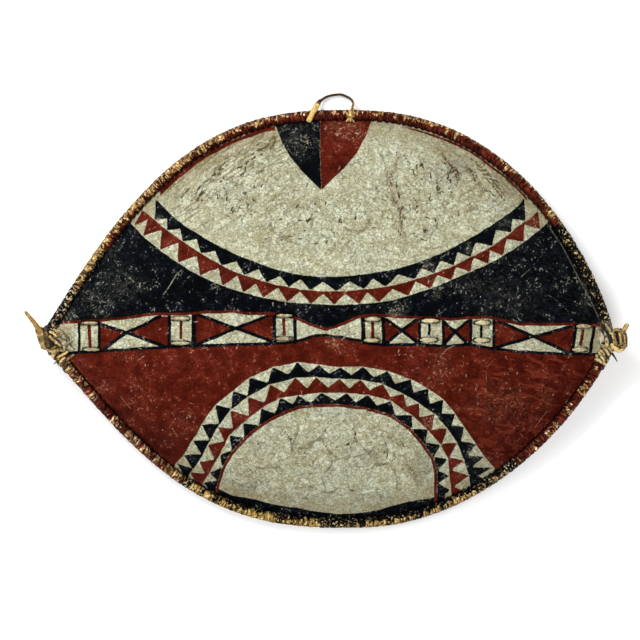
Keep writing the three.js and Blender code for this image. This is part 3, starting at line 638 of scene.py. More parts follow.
def paint(x, y, z):
    """The five coats of paint as signed distances in design units, negative where the coat lies."""
    u, v = design(x, y, z)
    # the hand that painted it wavered
    uu = u + 0.9 * fbm(u, v, 26, 3) + 0.35 * vnoise(u, v, 5, 5)
    vv = v + 0.9 * fbm(u, v, 26, 4) + 0.35 * vnoise(u, v, 5, 6)
    u, v = uu, vv
    top, low = y_at(BAND_TOP, u), y_at(BAND_LOW, u)
    c3 = y_at(C3, u)
    # first coat of red: the lower field, the red teeth, the red half of the pointed shape, the crossed triangles
    red = low - v
    red = union(red, polygon(u, v, RED_STRIP))
    red = union(red, polygon(u, v, [(319.5, 118), (372.5, 116), (370.8, 124.3), (365, 138.6), (357, 153.8), (345.4, 168), (321.3, 190.4), (320.4, 155)]))
    for (c, ul, ur, ll, lr), (near, far) in zip(CROSSES, CROSS_ENDS):
        red = union(red, polygon(u, v, [ul, c, ll, (near, ll[1]), (near, ul[1])]), polygon(u, v, [ur, c, lr, (far, lr[1]), (far, ur[1])]))
    # first coat of black: the field above the band, the black teeth, the other half
    black = np.maximum(c3 - v, v - top)
    black = np.where((u < 118) | (u > 556), np.maximum(v - top, -60 + 0 * v), black)
    black = union(black, polygon(u, v, BLACK_STRIP))
    black = union(black, polygon(u, v, [(276.6, 128), (274, 118), (319, 118), (319.6, 123.4), (320.4, 155), (321.3, 190.4), (302.5, 171.6), (290, 156.4), (282, 142)]))
    # the pale ground of the nested arcs
    ground = polygon(u, v, np.vstack([D0, [(502, 520), (168, 520)]]), 60.0)
    # second coat of black: toothed arcs, the foot of the arcs, the outlines
    dark = union(polygon(u, v, toothed_arc(D0, D1)), polygon(u, v, toothed_arc(D2, D3, ARC_INNER)))
    dark = union(dark, polygon(u, v, np.vstack([LOW_EDGE, [(445, 530), (208, 530)]]), 40.0))
    for c, ul, ur, ll, lr in CROSSES:
        for p in (ul, ur, ll, lr):
            dark = union(dark, stroke(u, v, c, p, 3.4))
    for a, b, w in BARS:
        dark = union(dark, stroke(u, v, a, b, w + 0.5))
    dark = union(dark, np.abs(v - low) - 1.5)
    for a, b, w, is_red in STROKES:
        if not is_red:
            dark = union(dark, stroke(u, v, a, b, w))
    # second coat of red: the toothed arc between, thin lines and strokes
    late = polygon(u, v, toothed_arc(D1, D2, ARC_RED))
    inner = D3 + (np.array([(328.0, 486.0)]) - D3) * 0.014
    late = union(late, path_distance(u, v, inner) - 1.5)
    late = union(late, np.abs(v - top) - 1.4)
    on_right = smooth(320, 400, u)
    edge = np.abs(rim_distance(x, y) / UNIT - 13.0 - 0.1 * on_right + 0.6 * vnoise(u, v, 14, 9)) - (2.1 - 0.95 * on_right + (0.55 - 0.3 * on_right) * vnoise(u, v, 9, 12))
    thin = np.where(((u > 160) & (u < 276)) | ((u > 392) & (u < 528)), edge, 30.0)
    late = union(late, np.where(v < 215, thin, 30.0))
    for a, b, w, is_red in STROKES:
        if is_red:
            late = union(late, stroke(u, v, a, b, w))
    return dict(red_a=red, black_a=black, ground=ground, black_b=dark, red_b=late), u, v


# =====================================================================================
# Material helpers
# =====================================================================================
class Nodes:
    """Builds a node tree in a few words."""

    def __init__(self, name):
        self.m = bpy.data.materials.new(name)
        self.m.use_nodes = True
        self.t = self.m.node_tree
        self.t.nodes.clear()
        self.out = self.t.nodes.new("ShaderNodeOutputMaterial")
        self.bsdf = self.t.nodes.new("ShaderNodeBsdfPrincipled")
        self.t.links.new(self.bsdf.outputs[0], self.out.inputs[0])
        self.coords = self.t.nodes.new("ShaderNodeTexCoord").outputs["Object"]

    def put(self, socket, value):
        if hasattr(value, "is_output"):
            self.t.links.new(value, socket)
        elif isinstance(value, (tuple, list)) and len(value) == 3 and socket.type == "RGBA":
            socket.default_value = (*value, 1)
        else:
            socket.default_value = value

    def attr(self, name, vector=False):
        n = self.t.nodes.new("ShaderNodeAttribute")
        n.attribute_name = name
        return n.outputs["Vector" if vector else "Fac"]

    def math(self, op, a, b=0.0, c=0.0, clamp=False):
        n = self.t.nodes.new("ShaderNodeMath")
        n.operation = op
        n.use_clamp = clamp
        for s, x in zip(n.inputs, (a, b, c)):
            self.put(s, x)
        return n.outputs[0]

    def scaled(self, scale, source=None):
        n = self.t.nodes.new("ShaderNodeMapping")
        self.put(n.inputs["Vector"], source or self.coords)
        n.inputs["Scale"].default_value = scale
        return n.outputs[0]

    def turned(self, scale, angle):
        n = self.t.nodes.new("ShaderNodeMapping")
        self.put(n.inputs["Vector"], self.coords)
        n.inputs["Rotation"].default_value = (0, 0, angle)
        m = self.t.nodes.new("ShaderNodeMapping")
        self.put(m.inputs["Vector"], n.outputs[0])
        m.inputs["Scale"].default_value = scale
        return m.outputs[0]

    def noise(self, scale, detail=3.0, rough=0.55, source=None, distortion=0.0):
        n = self.t.nodes.new("ShaderNodeTexNoise")
        self.put(n.inputs["Vector"], source or self.coords)
        n.inputs["Scale"].default_value = scale
        n.inputs["Detail"].default_value = detail
        n.inputs["Roughness"].default_value = rough
        n.inputs["Distortion"].default_value = distortion
        return n.outputs["Fac"]

    def voronoi(self, scale, source=None, feature="F1", randomness=1.0):
        n = self.t.nodes.new("ShaderNodeTexVoronoi")
        n.feature = feature
        self.put(n.inputs["Vector"], source or self.coords)
        n.inputs["Scale"].default_value = scale
        n.inputs["Randomness"].default_value = randomness
        return n.outputs["Distance"]

    def between(self, value, low, high, to_low=0.0, to_high=1.0):
        n = self.t.nodes.new("ShaderNodeMapRange")
        n.interpolation_type = "SMOOTHSTEP"
        for key, x in zip(("Value", "From Min", "From Max", "To Min", "To Max"), (value, low, high, to_low, to_high)):
            self.put(n.inputs[key], x)
        return n.outputs["Result"]

    def mix(self, fac, a, b):
        n = self.t.nodes.new("ShaderNodeMix")
        n.data_type = "RGBA"
        self.put(n.inputs[0], fac)
        self.put(n.inputs[6], a)
        self.put(n.inputs[7], b)
        return n.outputs[2]

    def times(self, colour, factor):
        n = self.t.nodes.new("ShaderNodeVectorMath")
        n.operation = "SCALE"
        self.put(n.inputs[0], colour)
        self.put(n.inputs["Scale"], factor)
        return n.outputs[0]

    def bump(self, height, strength, distance, normal=None):
        n = self.t.nodes.new("ShaderNodeBump")
        n.inputs["Strength"].default_value = strength
        n.inputs["Distance"].default_value = distance
        self.put(n.inputs["Height"], height)
        if normal is not None:
            self.put(n.inputs["Normal"], normal)
        return n.outputs[0]

    def finish(self, colour, rough, normal=None, specular=0.3):
        self.put(self.bsdf.inputs["Base Color"], colour)
        self.put(self.bsdf.inputs["Roughness"], rough)
        self.bsdf.inputs["Specular IOR Level"].default_value = specular
        if normal is not None:
            self.put(self.bsdf.inputs["Normal"], normal)
        return self.m


def srgb(r, g, b):
    return tuple(((c / 255 + 0.055) / 1.055) ** 2.4 if c > 10 else c / 255 / 12.92 for c in (r, g, b))


# =====================================================================================
# Camera
# =====================================================================================
cam_data = bpy.data.cameras.new("Camera")
cam = bpy.data.objects.new("Camera", cam_data)
bpy.context.scene.collection.objects.link(cam)
bpy.context.scene.camera = cam
cam_data.sensor_width = 36.0
cam_data.lens = 36.0 * (EYE_Z - PLANE_Z) / (640 * UNIT)
cam_data.clip_end = 100.0
cam_data.dof.use_dof = False
cam.location = ((EYE_X - MIDDLE_X) * MM, EYE_Y * MM, EYE_Z * MM)
cam.rotation_euler = (0, 0, 0)


# =====================================================================================
# Hanging loop: a rawhide strip over the rim that lies on the floor in a bow
# =====================================================================================
def catmull(points, n):
    p = np.asarray(points, float)
    p = np.vstack([2 * p[0] - p[1], p, 2 * p[-1] - p[-2]])
    out = []
    for i in range(1, len(p) - 2):
        for t in np.linspace(0, 1, n, endpoint=False):
            a, b, c, d = p[i - 1 : i + 3]
            out.append(0.5 * (2 * b + (c - a) * t + (2 * a - 5 * b + 4 * c - d) * t**2 + (3 * b - a - 3 * c + d) * t**3))
    out.append(p[-2])
    return np.array(out)


LOOP_T, LOOP_W = 1.8, 3.6
_top, _floor = 2 * RIM_R + LOOP_T + 0.6, LOOP_T + 0.9
LOOP = [(-29, 306.5, _top - 4), (-27, 310, _top - 0.5), (-22.5, 319, _top - 0.2), (-17.5, 327.5, _top - 5), (-14, 334, _top - 12), (-9, 339.5, _floor + 2), (2, 346, _floor), (20, 348.6, _floor), (30, 345.6, _floor), (37.2, 341, _floor + 2), (40.4, 334.5, _top - 12), (39.2, 328, _top - 5), (37, 319, _top - 0.2), (35, 310, _top - 0.5), (34.2, 306.5, _top - 4)]


def thong_material(name, light, dark, deep, edge=0.5):
    n = Nodes(name)
    across, length, tone = n.attr("across"), n.attr("lengthwise"), n.attr("tone")
    comb = n.t.nodes.new("ShaderNodeCombineXYZ")
    n.put(comb.inputs[0], n.math("MULTIPLY", length, 0.05))
    n.put(comb.inputs[1], n.math("MULTIPLY", across, 2.2))
    n.put(comb.inputs[2], n.math("MULTIPLY", tone, 7.0))
    fibre = n.noise(3.4, 4, 0.65, comb.outputs[0])
    blotch = n.noise(95.0, 4, 0.65)
    fine = n.noise(320.0, 3, 0.6)
    f = n.math("ADD", n.math("MULTIPLY", fibre, 0.5), n.math("MULTIPLY", blotch, 0.4))
    f = n.math("ADD", f, n.math("MULTIPLY", fine, 0.1))
    f = n.math("ADD", f, n.math("MULTIPLY", tone, 0.16))
    colour = n.mix(n.between(f, 0.43, 0.55), dark, light)
    colour = n.mix(n.between(n.math("ADD", blotch, n.math("MULTIPLY", tone, -0.2)), 0.53, 0.66, 0.0, 0.85), colour, deep)
    # painted highlights: small bright flecks on the rawhide
    colour = n.mix(n.between(n.noise(260.0, 3, 0.7), 0.57, 0.66, 0.0, 0.55), colour, n.times(light, 1.25) if not isinstance(light, tuple) else tuple(min(1.0, c * 1.3) for c in light))
    # painted shade: each strand is darker towards its sides, where it turns away from the light
    rim = n.between(n.math("ABSOLUTE", across), 0.45, 1.0, 1.04, 1.04 - edge)
    colour = n.times(colour, rim)
    colour = n.mix(n.between(tone, -0.3, -0.65, 0.0, 0.85), colour, deep)
    colour = n.times(colour, n.math("MAXIMUM", n.math("ADD", n.math("MULTIPLY", tone, 0.7), 1.0), 0.12))
    colour = n.mix(n.between(n.attr("chalk"), 0.0, 1.0, 0.0, 0.85), colour, n.times(n.mix(n.between(blotch, 0.38, 0.6), srgb(96, 88, 66), srgb(188, 182, 158)), rim))
    colour = n.mix(n.between(n.attr("chalk"), 0.0, -1.0), colour, n.times(n.mix(n.between(fibre, 0.4, 0.6), srgb(108, 74, 24), srgb(170, 130, 56)), rim))
    colour = n.times(colour, n.between(fine, 0.34, 0.66, 0.84, 1.1))
    height = n.math("ADD", n.math("MULTIPLY", fibre, 0.7), n.math("MULTIPLY", fine, 0.3))
    rough = n.between(blotch, 0.3, 0.7, 0.34, 0.58)
    return n.finish(colour, rough, n.bump(height, 0.8, 0.0014), 0.22)


LOOP_MATERIAL = thong_material("loop_rawhide", srgb(222, 190, 112), srgb(158, 118, 54), srgb(70, 34, 16))
THONG_PALE = thong_material("thong_pale", srgb(206, 198, 160), srgb(160, 142, 98), srgb(92, 70, 42), 0.34)
THONG_TAN = thong_material("thong_tan", srgb(208, 178, 114), srgb(94, 68, 30), srgb(22, 12, 3), 0.85)


def over_line(points):
    """Up direction of a strand that wraps something: away from the middle of its loop."""
    p = np.asarray(points, float)
    return p - p.mean(0)


loop_path = catmull(LOOP, 8)
loop_path, _ = resample(loop_path, False, 1.6)
t_share = np.linspace(0, 1, len(loop_path))
loop_up = np.zeros_like(loop_path)
loop_up[:, 2] = 1
loop_tan = tangents(loop_path, False)
# flat where it lies over the roll, on its edge round the bow
turn = smooth(0.24, 0.38, t_share) * (1 - 0.5 * smooth(0.8, 0.95, t_share))
side = np.cross(loop_tan, loop_up)
side /= np.maximum(np.linalg.norm(side, axis=1, keepdims=True), 1e-9)
straight_up = loop_up - (loop_up * loop_tan).sum(1, keepdims=True) * loop_tan
straight_up /= np.maximum(np.linalg.norm(straight_up, axis=1, keepdims=True), 1e-9)
loop_dir = straight_up * np.cos(turn * 1.25)[:, None] + side * np.sin(turn * 1.25)[:, None]
width = 4.3 - 1.5 * smooth(0.24, 0.36, t_share) - 0.6 * smooth(0.72, 0.86, t_share)
loop_tone = 0.12 - 0.72 * smooth(0.25, 0.30, t_share) + 0.30 * smooth(0.68, 0.78, t_share) + 0.18 * smooth(0.84, 0.92, t_share)
loop_tone -= 0.45 * np.exp(-(((t_share - 0.262) / 0.014) ** 2))
loop_lift = loop_path.copy()
loop_lift[:, 2] += 0.9 * turn
loop_parts = Parts()
loop_parts.add(sweep(loop_lift, False, loop_dir, width, 1.75, 16, 0.8, 0.1, 3), loop_tone)
loop = loop_parts.object("hanging_loop_strip", LOOP_MATERIAL)
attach(loop, "root")
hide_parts("hanging_loop")

# =====================================================================================
# The hide
# =====================================================================================
NX, NY = 400, 200


def hide_xs(n):
    t = np.linspace(0, 1, n + 1)
    t = 0.78 * t + 0.22 * (1 - np.cos(np.pi * t)) / 2
    return TIPS[0] + (TIPS[1] - TIPS[0]) * t


def hide_vs(n):
    """Rows from the lower rim (-1) to the upper rim (1), close together along the middle band."""
    k = np.linspace(-1, 1, n + 1)
    dense_part, near = 0.30, 0.155
    return np.sign(k) * np.where(
        np.abs(k) < dense_part, np.abs(k) / dense_part * near, near + (np.abs(k) - dense_part) / (1 - dense_part) * (1 - near)
    )


RIM_HOLES = 9.5


def rim_distance(x, y):
    """Roughly how far a point is from the outline, in millimetres."""
    gu = half(UPPER, x + 0.5) - half(UPPER, x - 0.5)
    gl = half(LOWER, x + 0.5) - half(LOWER, x - 0.5)
    du = (TIP_Y + half(UPPER, x) - y) / np.hypot(1, gu)
    dl = (y - TIP_Y + half(LOWER, x)) / np.hypot(1, gl)
    return np.minimum(du, dl)


def hole_points():
    pts = []
    for l in LASHINGS:
        for x, y in ((l["x"], l["top"]), (l["x"] + l["lean"], l["bottom"])):
            for s in (-1, 1):
                pts.append((x + s * (l["half"] - 0.4), y))
    return pts


CREASE = [(u, v) for u, v in ((536, 205), (542, 215), (553, 233), (561, 244), (571, 263), (580, 281), (590, 299), (595, 310), (599, 318), (601, 326))]


def relief(x, y, perimeter):
    """Fine unevenness of the stiff hide, in millimetres along Z."""
    x, y = np.asarray(x, float), np.asarray(y, float)
    dz = 1.5 * fbm(x, y, 150, 21, 2) + 0.65 * fbm(x, y, 46, 22, 2) + 0.12 * vnoise(x, y, 12, 23)
    ru, rv = 320 + (x - EYE_X) / UNIT, 320 - (y - EYE_Y) / UNIT
    leather = smooth(430, 500, ru) * (0.45 + 0.55 * smooth(340, 356, rv)) + 0.35 * smooth(150, 90, ru)
    dz += leather * (0.42 * fbm(x, y, 24, 27, 2) - 0.5 * np.maximum(0, 0.22 - np.abs(vnoise(x + 0.4 * y, y, 19, 28))))
    d = rim_distance(x, y)
    # the hide is drawn in by each turn of the lacing
    pull = np.exp(-np.maximum(0, d - 19) / 7.0)
    puckers = perimeter + 2.2 * vnoise(perimeter, perimeter * 0, 31, 25)
    dz += pull * (0.6 * np.cos(puckers * 2 * np.pi / RIM_HOLES) - 1.2)
    dz += np.exp(-(((d - 18) / 3.6) ** 2)) * 0.9 * np.cos(puckers * 2 * np.pi / RIM_HOLES)
    dz *= smooth(4, 15, d) * 0.8 + 0.2
    for hx, hy in hole_points():
        r = np.hypot(x - hx, y - hy)
        dz -= 3.6 * np.exp(-((r / 2.3) ** 2)) + 0.7 * np.exp(-((r / 9.0) ** 2))
    # drawn in over the grip
    gx, gy = (326.5 - U0) * UNIT, (V0 - 332.5) * UNIT
    dz -= 3.2 * np.exp(-(((x - gx) / 26) ** 2) - (((y - gy) / 11) ** 2))
    # the stave stands behind the middle
    sy = np.interp(x, [l["x"] for l in LASHINGS], [(l["top"] + l["bottom"]) / 2 for l in LASHINGS])
    dz += 0.9 * np.exp(-(((y - sy) / 12) ** 2)) * smooth(1.05, 0.9, np.abs(along(x)))
    # folded down beyond a crease at the right-hand shoulder
    u = 320 + (x - EYE_X) / UNIT
    v = 320 - (y - EYE_Y) / UNIT
    c = path_distance(u, v, CREASE, 20) * UNIT
    dz += 1.5 * np.exp(-((c / 3.2) ** 2)) - 1.0 * np.exp(-(((c - 9) / 6) ** 2)) * (rim_distance(x, y) < 40)
    return dz


# length along the rim, for the puckers
_rx = np.linspace(TIPS[0], TIPS[1], 1500)


def _arc_table(fn):
    yv = fn(_rx, RIM_R)
    return np.r_[0, np.cumsum(np.hypot(np.diff(_rx), np.diff(yv)))]


ARC_UP, ARC_LOW = _arc_table(upper_y), _arc_table(lower_y)
PERIMETER = ARC_UP[-1] + ARC_LOW[-1]


def perimeter_of(x, v):
    return np.where(np.asarray(v) >= 0, np.interp(x, _rx, ARC_UP), PERIMETER - np.interp(x, _rx, ARC_LOW))


def grid_points(xs, vs):
    pts, vv = [], []
    for i, x in enumerate(xs):
        if i == 0 or i == len(xs) - 1:
            side = 0 if i == 0 else 1
            pts.append(np.array([[x, TIPS_Y[side]]]))
            vv.append(np.zeros(1))
            continue
        r = float(ridge_y(x))
        up, dn = float(upper_y(x, RIM_R)) - r, r - float(lower_y(x, RIM_R))
        y = np.where(vs >= 0, r + vs * up, r + vs * dn)
        pts.append(np.stack([np.full(len(vs), x), y], 1))
        vv.append(vs)
    return np.vstack(pts), np.concatenate(vv)


def grid_index(nx, ny, start=0):
    """Vertex numbers of a grid whose first and last columns are one point."""
    idx = np.zeros((nx + 1, ny + 1), int)
    idx[0] = start
    for i in range(1, nx):
        idx[i] = start + 1 + (i - 1) * (ny + 1) + np.arange(ny + 1)
    idx[nx] = start + 1 + (nx - 1) * (ny + 1)
    return idx


def grid_faces(idx):
    a, b, c, d = idx[:-1, :-1], idx[1:, :-1], idx[1:, 1:], idx[:-1, 1:]
    quads = np.stack([a, b, c, d], -1).reshape(-1, 4)
    out = []
    for q in quads:
        if q[0] == q[3]:
            out.append((q[0], q[1], q[2]))
        elif q[1] == q[2]:
            out.append((q[0], q[1], q[3]))
        else:
            out.append(tuple(q))
    return out


def normals_at(x, y):
    e = 0.5
    gx = (outer_z(x + e, y) - outer_z(x - e, y)) / (2 * e)
    gy = (outer_z(x, y + e) - outer_z(x, y - e)) / (2 * e)
    gx, gy = np.clip(gx, -3, 3), np.clip(gy, -3, 3)
    n = np.stack([-gx, -gy, np.ones_like(gx)], 1)
    return n / np.linalg.norm(n, axis=1, keepdims=True)


def build_hide():
    fxy, fv = grid_points(hide_xs(NX), hide_vs(NY))
    x, y = fxy.T
    per = perimeter_of(x, fv)
    z = outer_z(x, y) + relief(x, y, per)
    front = np.stack([x, y, z], 1)
    # the back is coarser: every fourth column and row
    bx, bv = hide_xs(NX)[::4], hide_vs(NY)[::4]
    bxy, bvv = grid_points(bx, bv)
    nb = normals_at(bxy[:, 0], bxy[:, 1])
    base = np.stack([bxy[:, 0], bxy[:, 1], outer_z(bxy[:, 0], bxy[:, 1])], 1)
    back = base - nb * HIDE_T
    back[:, 2] += 0.6 * fbm(bxy[:, 0], bxy[:, 1], 60, 31, 2) - 0.5
    back[0, :2] = base[0, :2]
    back[-1, :2] = base[-1, :2]
    fi = grid_index(NX, NY)
    bi = grid_index(NX // 4, NY // 4, len(front))
    ff = grid_faces(fi)
    bf = [tuple(reversed(f)) for f in grid_faces(bi)]
    loop_f = list(fi[:, 0]) + list(fi[1:-1, -1][::-1])
    loop_b = list(bi[:, 0]) + list(bi[1:-1, -1][::-1])
    edge = []
    nf, nbk = len(loop_f), len(loop_b)
    for k in range(nbk):
        a, b = loop_b[k], loop_b[(k + 1) % nbk]
        fine = [loop_f[(4 * k + s) % nf] for s in range(5)]
        for s in range(2):
            edge.append((fine[s + 1], fine[s], a))
        edge.append((fine[2], a, b))
        for s in range(2, 4):
            edge.append((fine[s + 1], fine[s], b))
    coats, u, v = paint(x, y, z)
    n_back = len(back)
    pad = lambda a, fill: np.r_[a, np.full(n_back, fill)]
    attributes = {k: pad(np.clip(a, -30, 30), 30.0) for k, a in coats.items()}
    scallop = 0.8 * np.cos((per + 2.2 * vnoise(per, per * 0, 31, 25)) * 2 * np.pi / RIM_HOLES)
    attributes["rim_mm"] = np.r_[rim_distance(x, y) + scallop * smooth(40, 22, rim_distance(x, y)), rim_distance(bxy[:, 0], bxy[:, 1])]
    du, dv = design(x, y, z)
    scratch = np.full(len(x), 30.0)
    for pts, w in SCRATCHES:
        scratch = np.minimum(scratch, path_distance(du, dv, pts) - w / 2)
    scratch = np.minimum(scratch, nicks(du, dv))
    stain = np.zeros(len(x))
    su, sv = du + 4.5 * fbm(du, dv, 13, 77), dv + 4.5 * fbm(du, dv, 13, 78)
    for pts, w, strength in STAINS:
        d = path_distance(su, sv, round_curve(np.array(pts, float), 2)) - w / 2
        stain = np.maximum(stain, strength * smooth(1.9, -0.4, d) + 0.3 * strength * smooth(7, 0, d))
    crease = path_distance(du, dv, CREASE, 20)
    hole = np.full(len(x), 30.0)
    for hx, hy in hole_points():
        hole = np.minimum(hole, np.hypot(x - hx, y - hy))
    attributes["scratch"] = pad(np.clip(scratch, -30, 30), 30.0)
    attributes["stain"] = pad(stain, 0.0)
    attributes["dust"] = pad(patches(du, dv, DUST), 0.0)
    attributes["dim"] = pad(patches(du, dv, DIM), 0.0)
    attributes["streak"] = pad(patches(du, dv, STREAK), 0.0)
    faint, dark = cracks(du, dv)
    attributes["faint"], attributes["crack"] = pad(faint, 9.0), pad(dark, 9.0)
    bar = np.full(len(x), 30.0)
    for l in LASHINGS:
        for bx, by in ((l["x"], l["top"]), (l["x"] + l["lean"], l["bottom"])):
            bar = np.minimum(bar, segment_distance(x, y, (bx - l["half"], by), (bx + l["half"], by)))
    attributes["bar"] = pad(bar, 30.0)
    hide_wrinkles = smooth(440, 500, du) * (0.4 + 0.6 * smooth(344, 360, dv)) + 0.3 * smooth(150, 90, du)
    attributes["leather"] = pad(np.clip(hide_wrinkles, 0, 1), 0.0)
    attributes["crease"] = pad(np.clip(crease, 0, 30), 30.0)
    attributes["hole"] = pad(hole, 30.0)
    attributes["design"] = np.r_[np.stack([du, dv, np.zeros(len(du))], 1), np.zeros((n_back, 3))]
    faces = ff + bf + edge
    which = [0] * len(ff) + [1] * len(bf) + [1] * len(edge)
    return make_mesh("hide_painted", np.vstack([front, back]), faces, [hide_front_material(), hide_back_material()], attributes, which)


def hide_front_material():
    n = Nodes("painted_hide")
    times = lambda a, b: n.math("MULTIPLY", a, b)
    dust, dim, streak_at = n.attr("dust"), n.attr("dim"), n.attr("streak")
    big = n.noise(13.0, 4, 0.6)
    mid = n.noise(52.0, 4, 0.62)
    cloud = n.noise(105.0, 5, 0.7, distortion=0.6)
    small = n.noise(250.0, 4, 0.68)
    grit = n.noise(420.0, 2, 0.6)
    edge_noise = times(n.math("SUBTRACT", n.noise(330.0, 3, 0.65), 0.5), 1.3)

    def coat(name, soft=0.3):
        d = n.math("ADD", n.attr(name), edge_noise)
        return n.between(d, -soft, soft, 1.0, 0.0)

    def dashes(angle, long, short, low, seed):
        """Short hair-thin strokes that run one way."""
        src = n.turned((long, short, 1.0), math.radians(-angle))
        shift = n.t.nodes.new("ShaderNodeVectorMath")
        shift.operation = "ADD"
        n.put(shift.inputs[0], src)
        shift.inputs[1].default_value = (seed * 7.3, seed * 3.1, seed)
        return n.between(n.noise(1.0, 1, 0.5, shift.outputs[0]), low, low + 0.05)

    # a net of fine cracks
    wander = n.t.nodes.new("ShaderNodeTexNoise")
    n.put(wander.inputs["Vector"], n.coords)
    wander.inputs["Scale"].default_value = 90.0
    wander.inputs["Detail"].default_value = 3.0
    push = n.t.nodes.new("ShaderNodeVectorMath")
    push.operation = "MULTIPLY_ADD"
    n.put(push.inputs[0], wander.outputs["Color"])
    push.inputs[1].default_value = (0.013, 0.013, 0.013)
    n.put(push.inputs[2], n.coords)
    net = n.between(n.voronoi(62.0, push.outputs[0], "DISTANCE_TO_EDGE"), 0.0, 0.085, 1.0, 0.0)
    net = n.math("MAXIMUM", net, times(n.between(n.voronoi(135.0, push.outputs[0], "DISTANCE_TO_EDGE"), 0.0, 0.10, 1.0, 0.0), 0.55))
    net = times(net, n.between(cloud, 0.42, 0.60))

    def veins(scale, wide, seed):
        """Thin wandering lines, where smooth noise crosses its middle."""
        shift = n.t.nodes.new("ShaderNodeVectorMath")
        shift.operation = "ADD"
        n.put(shift.inputs[0], n.coords)
        shift.inputs[1].default_value = (seed, seed * 1.7, seed * 0.3)
        line_noise = n.noise(scale, 3, 0.5, shift.outputs[0], 0.3)
        return n.between(n.math("ABSOLUTE", n.math("SUBTRACT", line_noise, 0.5)), 0.0, wide, 1.0, 0.0)

    vein = n.math("MAXIMUM", times(veins(42.0, 0.050, 1.3), n.between(mid, 0.50, 0.54)), times(veins(85.0, 0.060, 4.1), n.between(cloud, 0.50, 0.53)))
    vein = n.math("MAXIMUM", vein, times(veins(150.0, 0.070, 7.7), n.between(mid, 0.53, 0.48, 0.0, 0.8)))
    brush = n.noise(1.0, 4, 0.7, n.turned((22.0, 270.0, 30.0), math.radians(-33)))
    brush_b = n.noise(1.0, 4, 0.7, n.turned((30.0, 260.0, 30.0), math.radians(52)))

    # pale ground: grey-green chalk, rubbed and grimed
    blend = n.math("ADD", times(cloud, 0.35), n.math("ADD", times(mid, 0.3), times(small, 0.35)))
    pale = n.mix(n.between(blend, 0.42, 0.50), srgb(150, 145, 114), srgb(178, 177, 147))
    pale = n.mix(times(n.between(blend, 0.50, 0.56), 0.9), pale, srgb(208, 211, 186))
    pale = n.mix(n.between(big, 0.42, 0.66, 0.0, 0.35), pale, srgb(190, 198, 178))
    pale = n.mix(times(net, 0.45), pale, srgb(96, 88, 62))
    pale = n.mix(times(vein, 0.62), pale, srgb(92, 85, 58))
    lines = n.between(brush, 0.535, 0.575)
    pale = n.mix(times(times(lines, streak_at), 0.86), pale, srgb(98, 87, 60))
    pale = n.mix(times(times(n.between(brush, 0.36, 0.43, 1.0, 0.0), streak_at), 0.5), pale, srgb(220, 214, 188))
    pale = n.mix(times(n.between(brush_b, 0.60, 0.65), 0.35), pale, srgb(108, 98, 68))
    # painted highlights: near-white dots in the pale ground
    pale = n.mix(times(n.between(n.noise(300.0, 2, 0.5), 0.63, 0.68), 0.6), pale, srgb(232, 230, 208))
    rag = times(n.math("SUBTRACT", n.noise(280.0, 3, 0.65), 0.5), 2.4)
    pale = n.mix(times(n.between(n.math("ADD", n.attr("faint"), times(rag, 0.45)), -0.05, 0.5, 1.0, 0.0), 0.6), pale, srgb(98, 89, 60))
    pale = n.mix(times(n.between(n.math("ADD", n.attr("crack"), rag), 0.0, 0.45, 1.0, 0.0), 0.95), pale, srgb(62, 50, 30))
    blot = times(n.between(n.noise(150.0, 5, 0.78), 0.575, 0.64), n.between(mid, 0.44, 0.58))
    pale = n.mix(times(blot, 0.75), pale, srgb(58, 50, 32))
    pale = n.mix(times(n.attr("stain"), times(n.between(small, 0.40, 0.58), n.between(cloud, 0.36, 0.56, 0.3, 1.0))), pale, srgb(92, 54, 34))
    # painted shade: the pale ground darkens towards the rim, where the dome turns down
    painted_shade_near_rim = n.between(n.math("ADD", n.attr("rim_mm"), times(n.math("SUBTRACT", mid, 0.5), 26.0)), 26.0, 62.0, 0.42, 0.0)
    pale = n.mix(painted_shade_near_rim, pale, srgb(124, 106, 70))
    # darker in the dim patches: painted shade near the rim, darker ground elsewhere
    pale = n.times(pale, n.between(n.math("ADD", dim, times(n.math("SUBTRACT", mid, 0.5), 0.7)), 0.0, 1.0, 1.0, 0.70))
    # red ochre: dark brick with dusty flecks
    red = n.mix(n.between(mid, 0.36, 0.64), srgb(64, 14, 5), srgb(92, 28, 15))
    red = n.mix(n.between(cloud, 0.54, 0.66, 0.0, 0.5), red, srgb(52, 11, 3))
    red = n.mix(n.between(big, 0.5, 0.72, 0.0, 0.4), red, srgb(106, 44, 38))
    red = n.mix(n.between(small, 0.54, 0.64, 0.0, 0.45), red, srgb(48, 10, 3))
    red = n.mix(n.between(small, 0.43, 0.34, 0.0, 0.3), red, srgb(124, 58, 42))
    # soot black, with a painted grey-blue sheen in cloudy patches
    soot = n.mix(n.between(mid, 0.4, 0.68), srgb(2, 4, 7), srgb(10, 15, 22))
    soot = n.mix(times(n.between(cloud, 0.54, 0.68), n.between(big, 0.42, 0.64, 0.05, 0.5)), soot, srgb(40, 45, 48))
    soot = n.mix(n.between(small, 0.52, 0.60, 0.0, 0.9), soot, srgb(1, 1, 2))
    soot = n.mix(times(n.between(small, 0.44, 0.36, 0.0, 0.8), n.between(cloud, 0.50, 0.60, 0.0, 0.9)), soot, srgb(50, 54, 54))

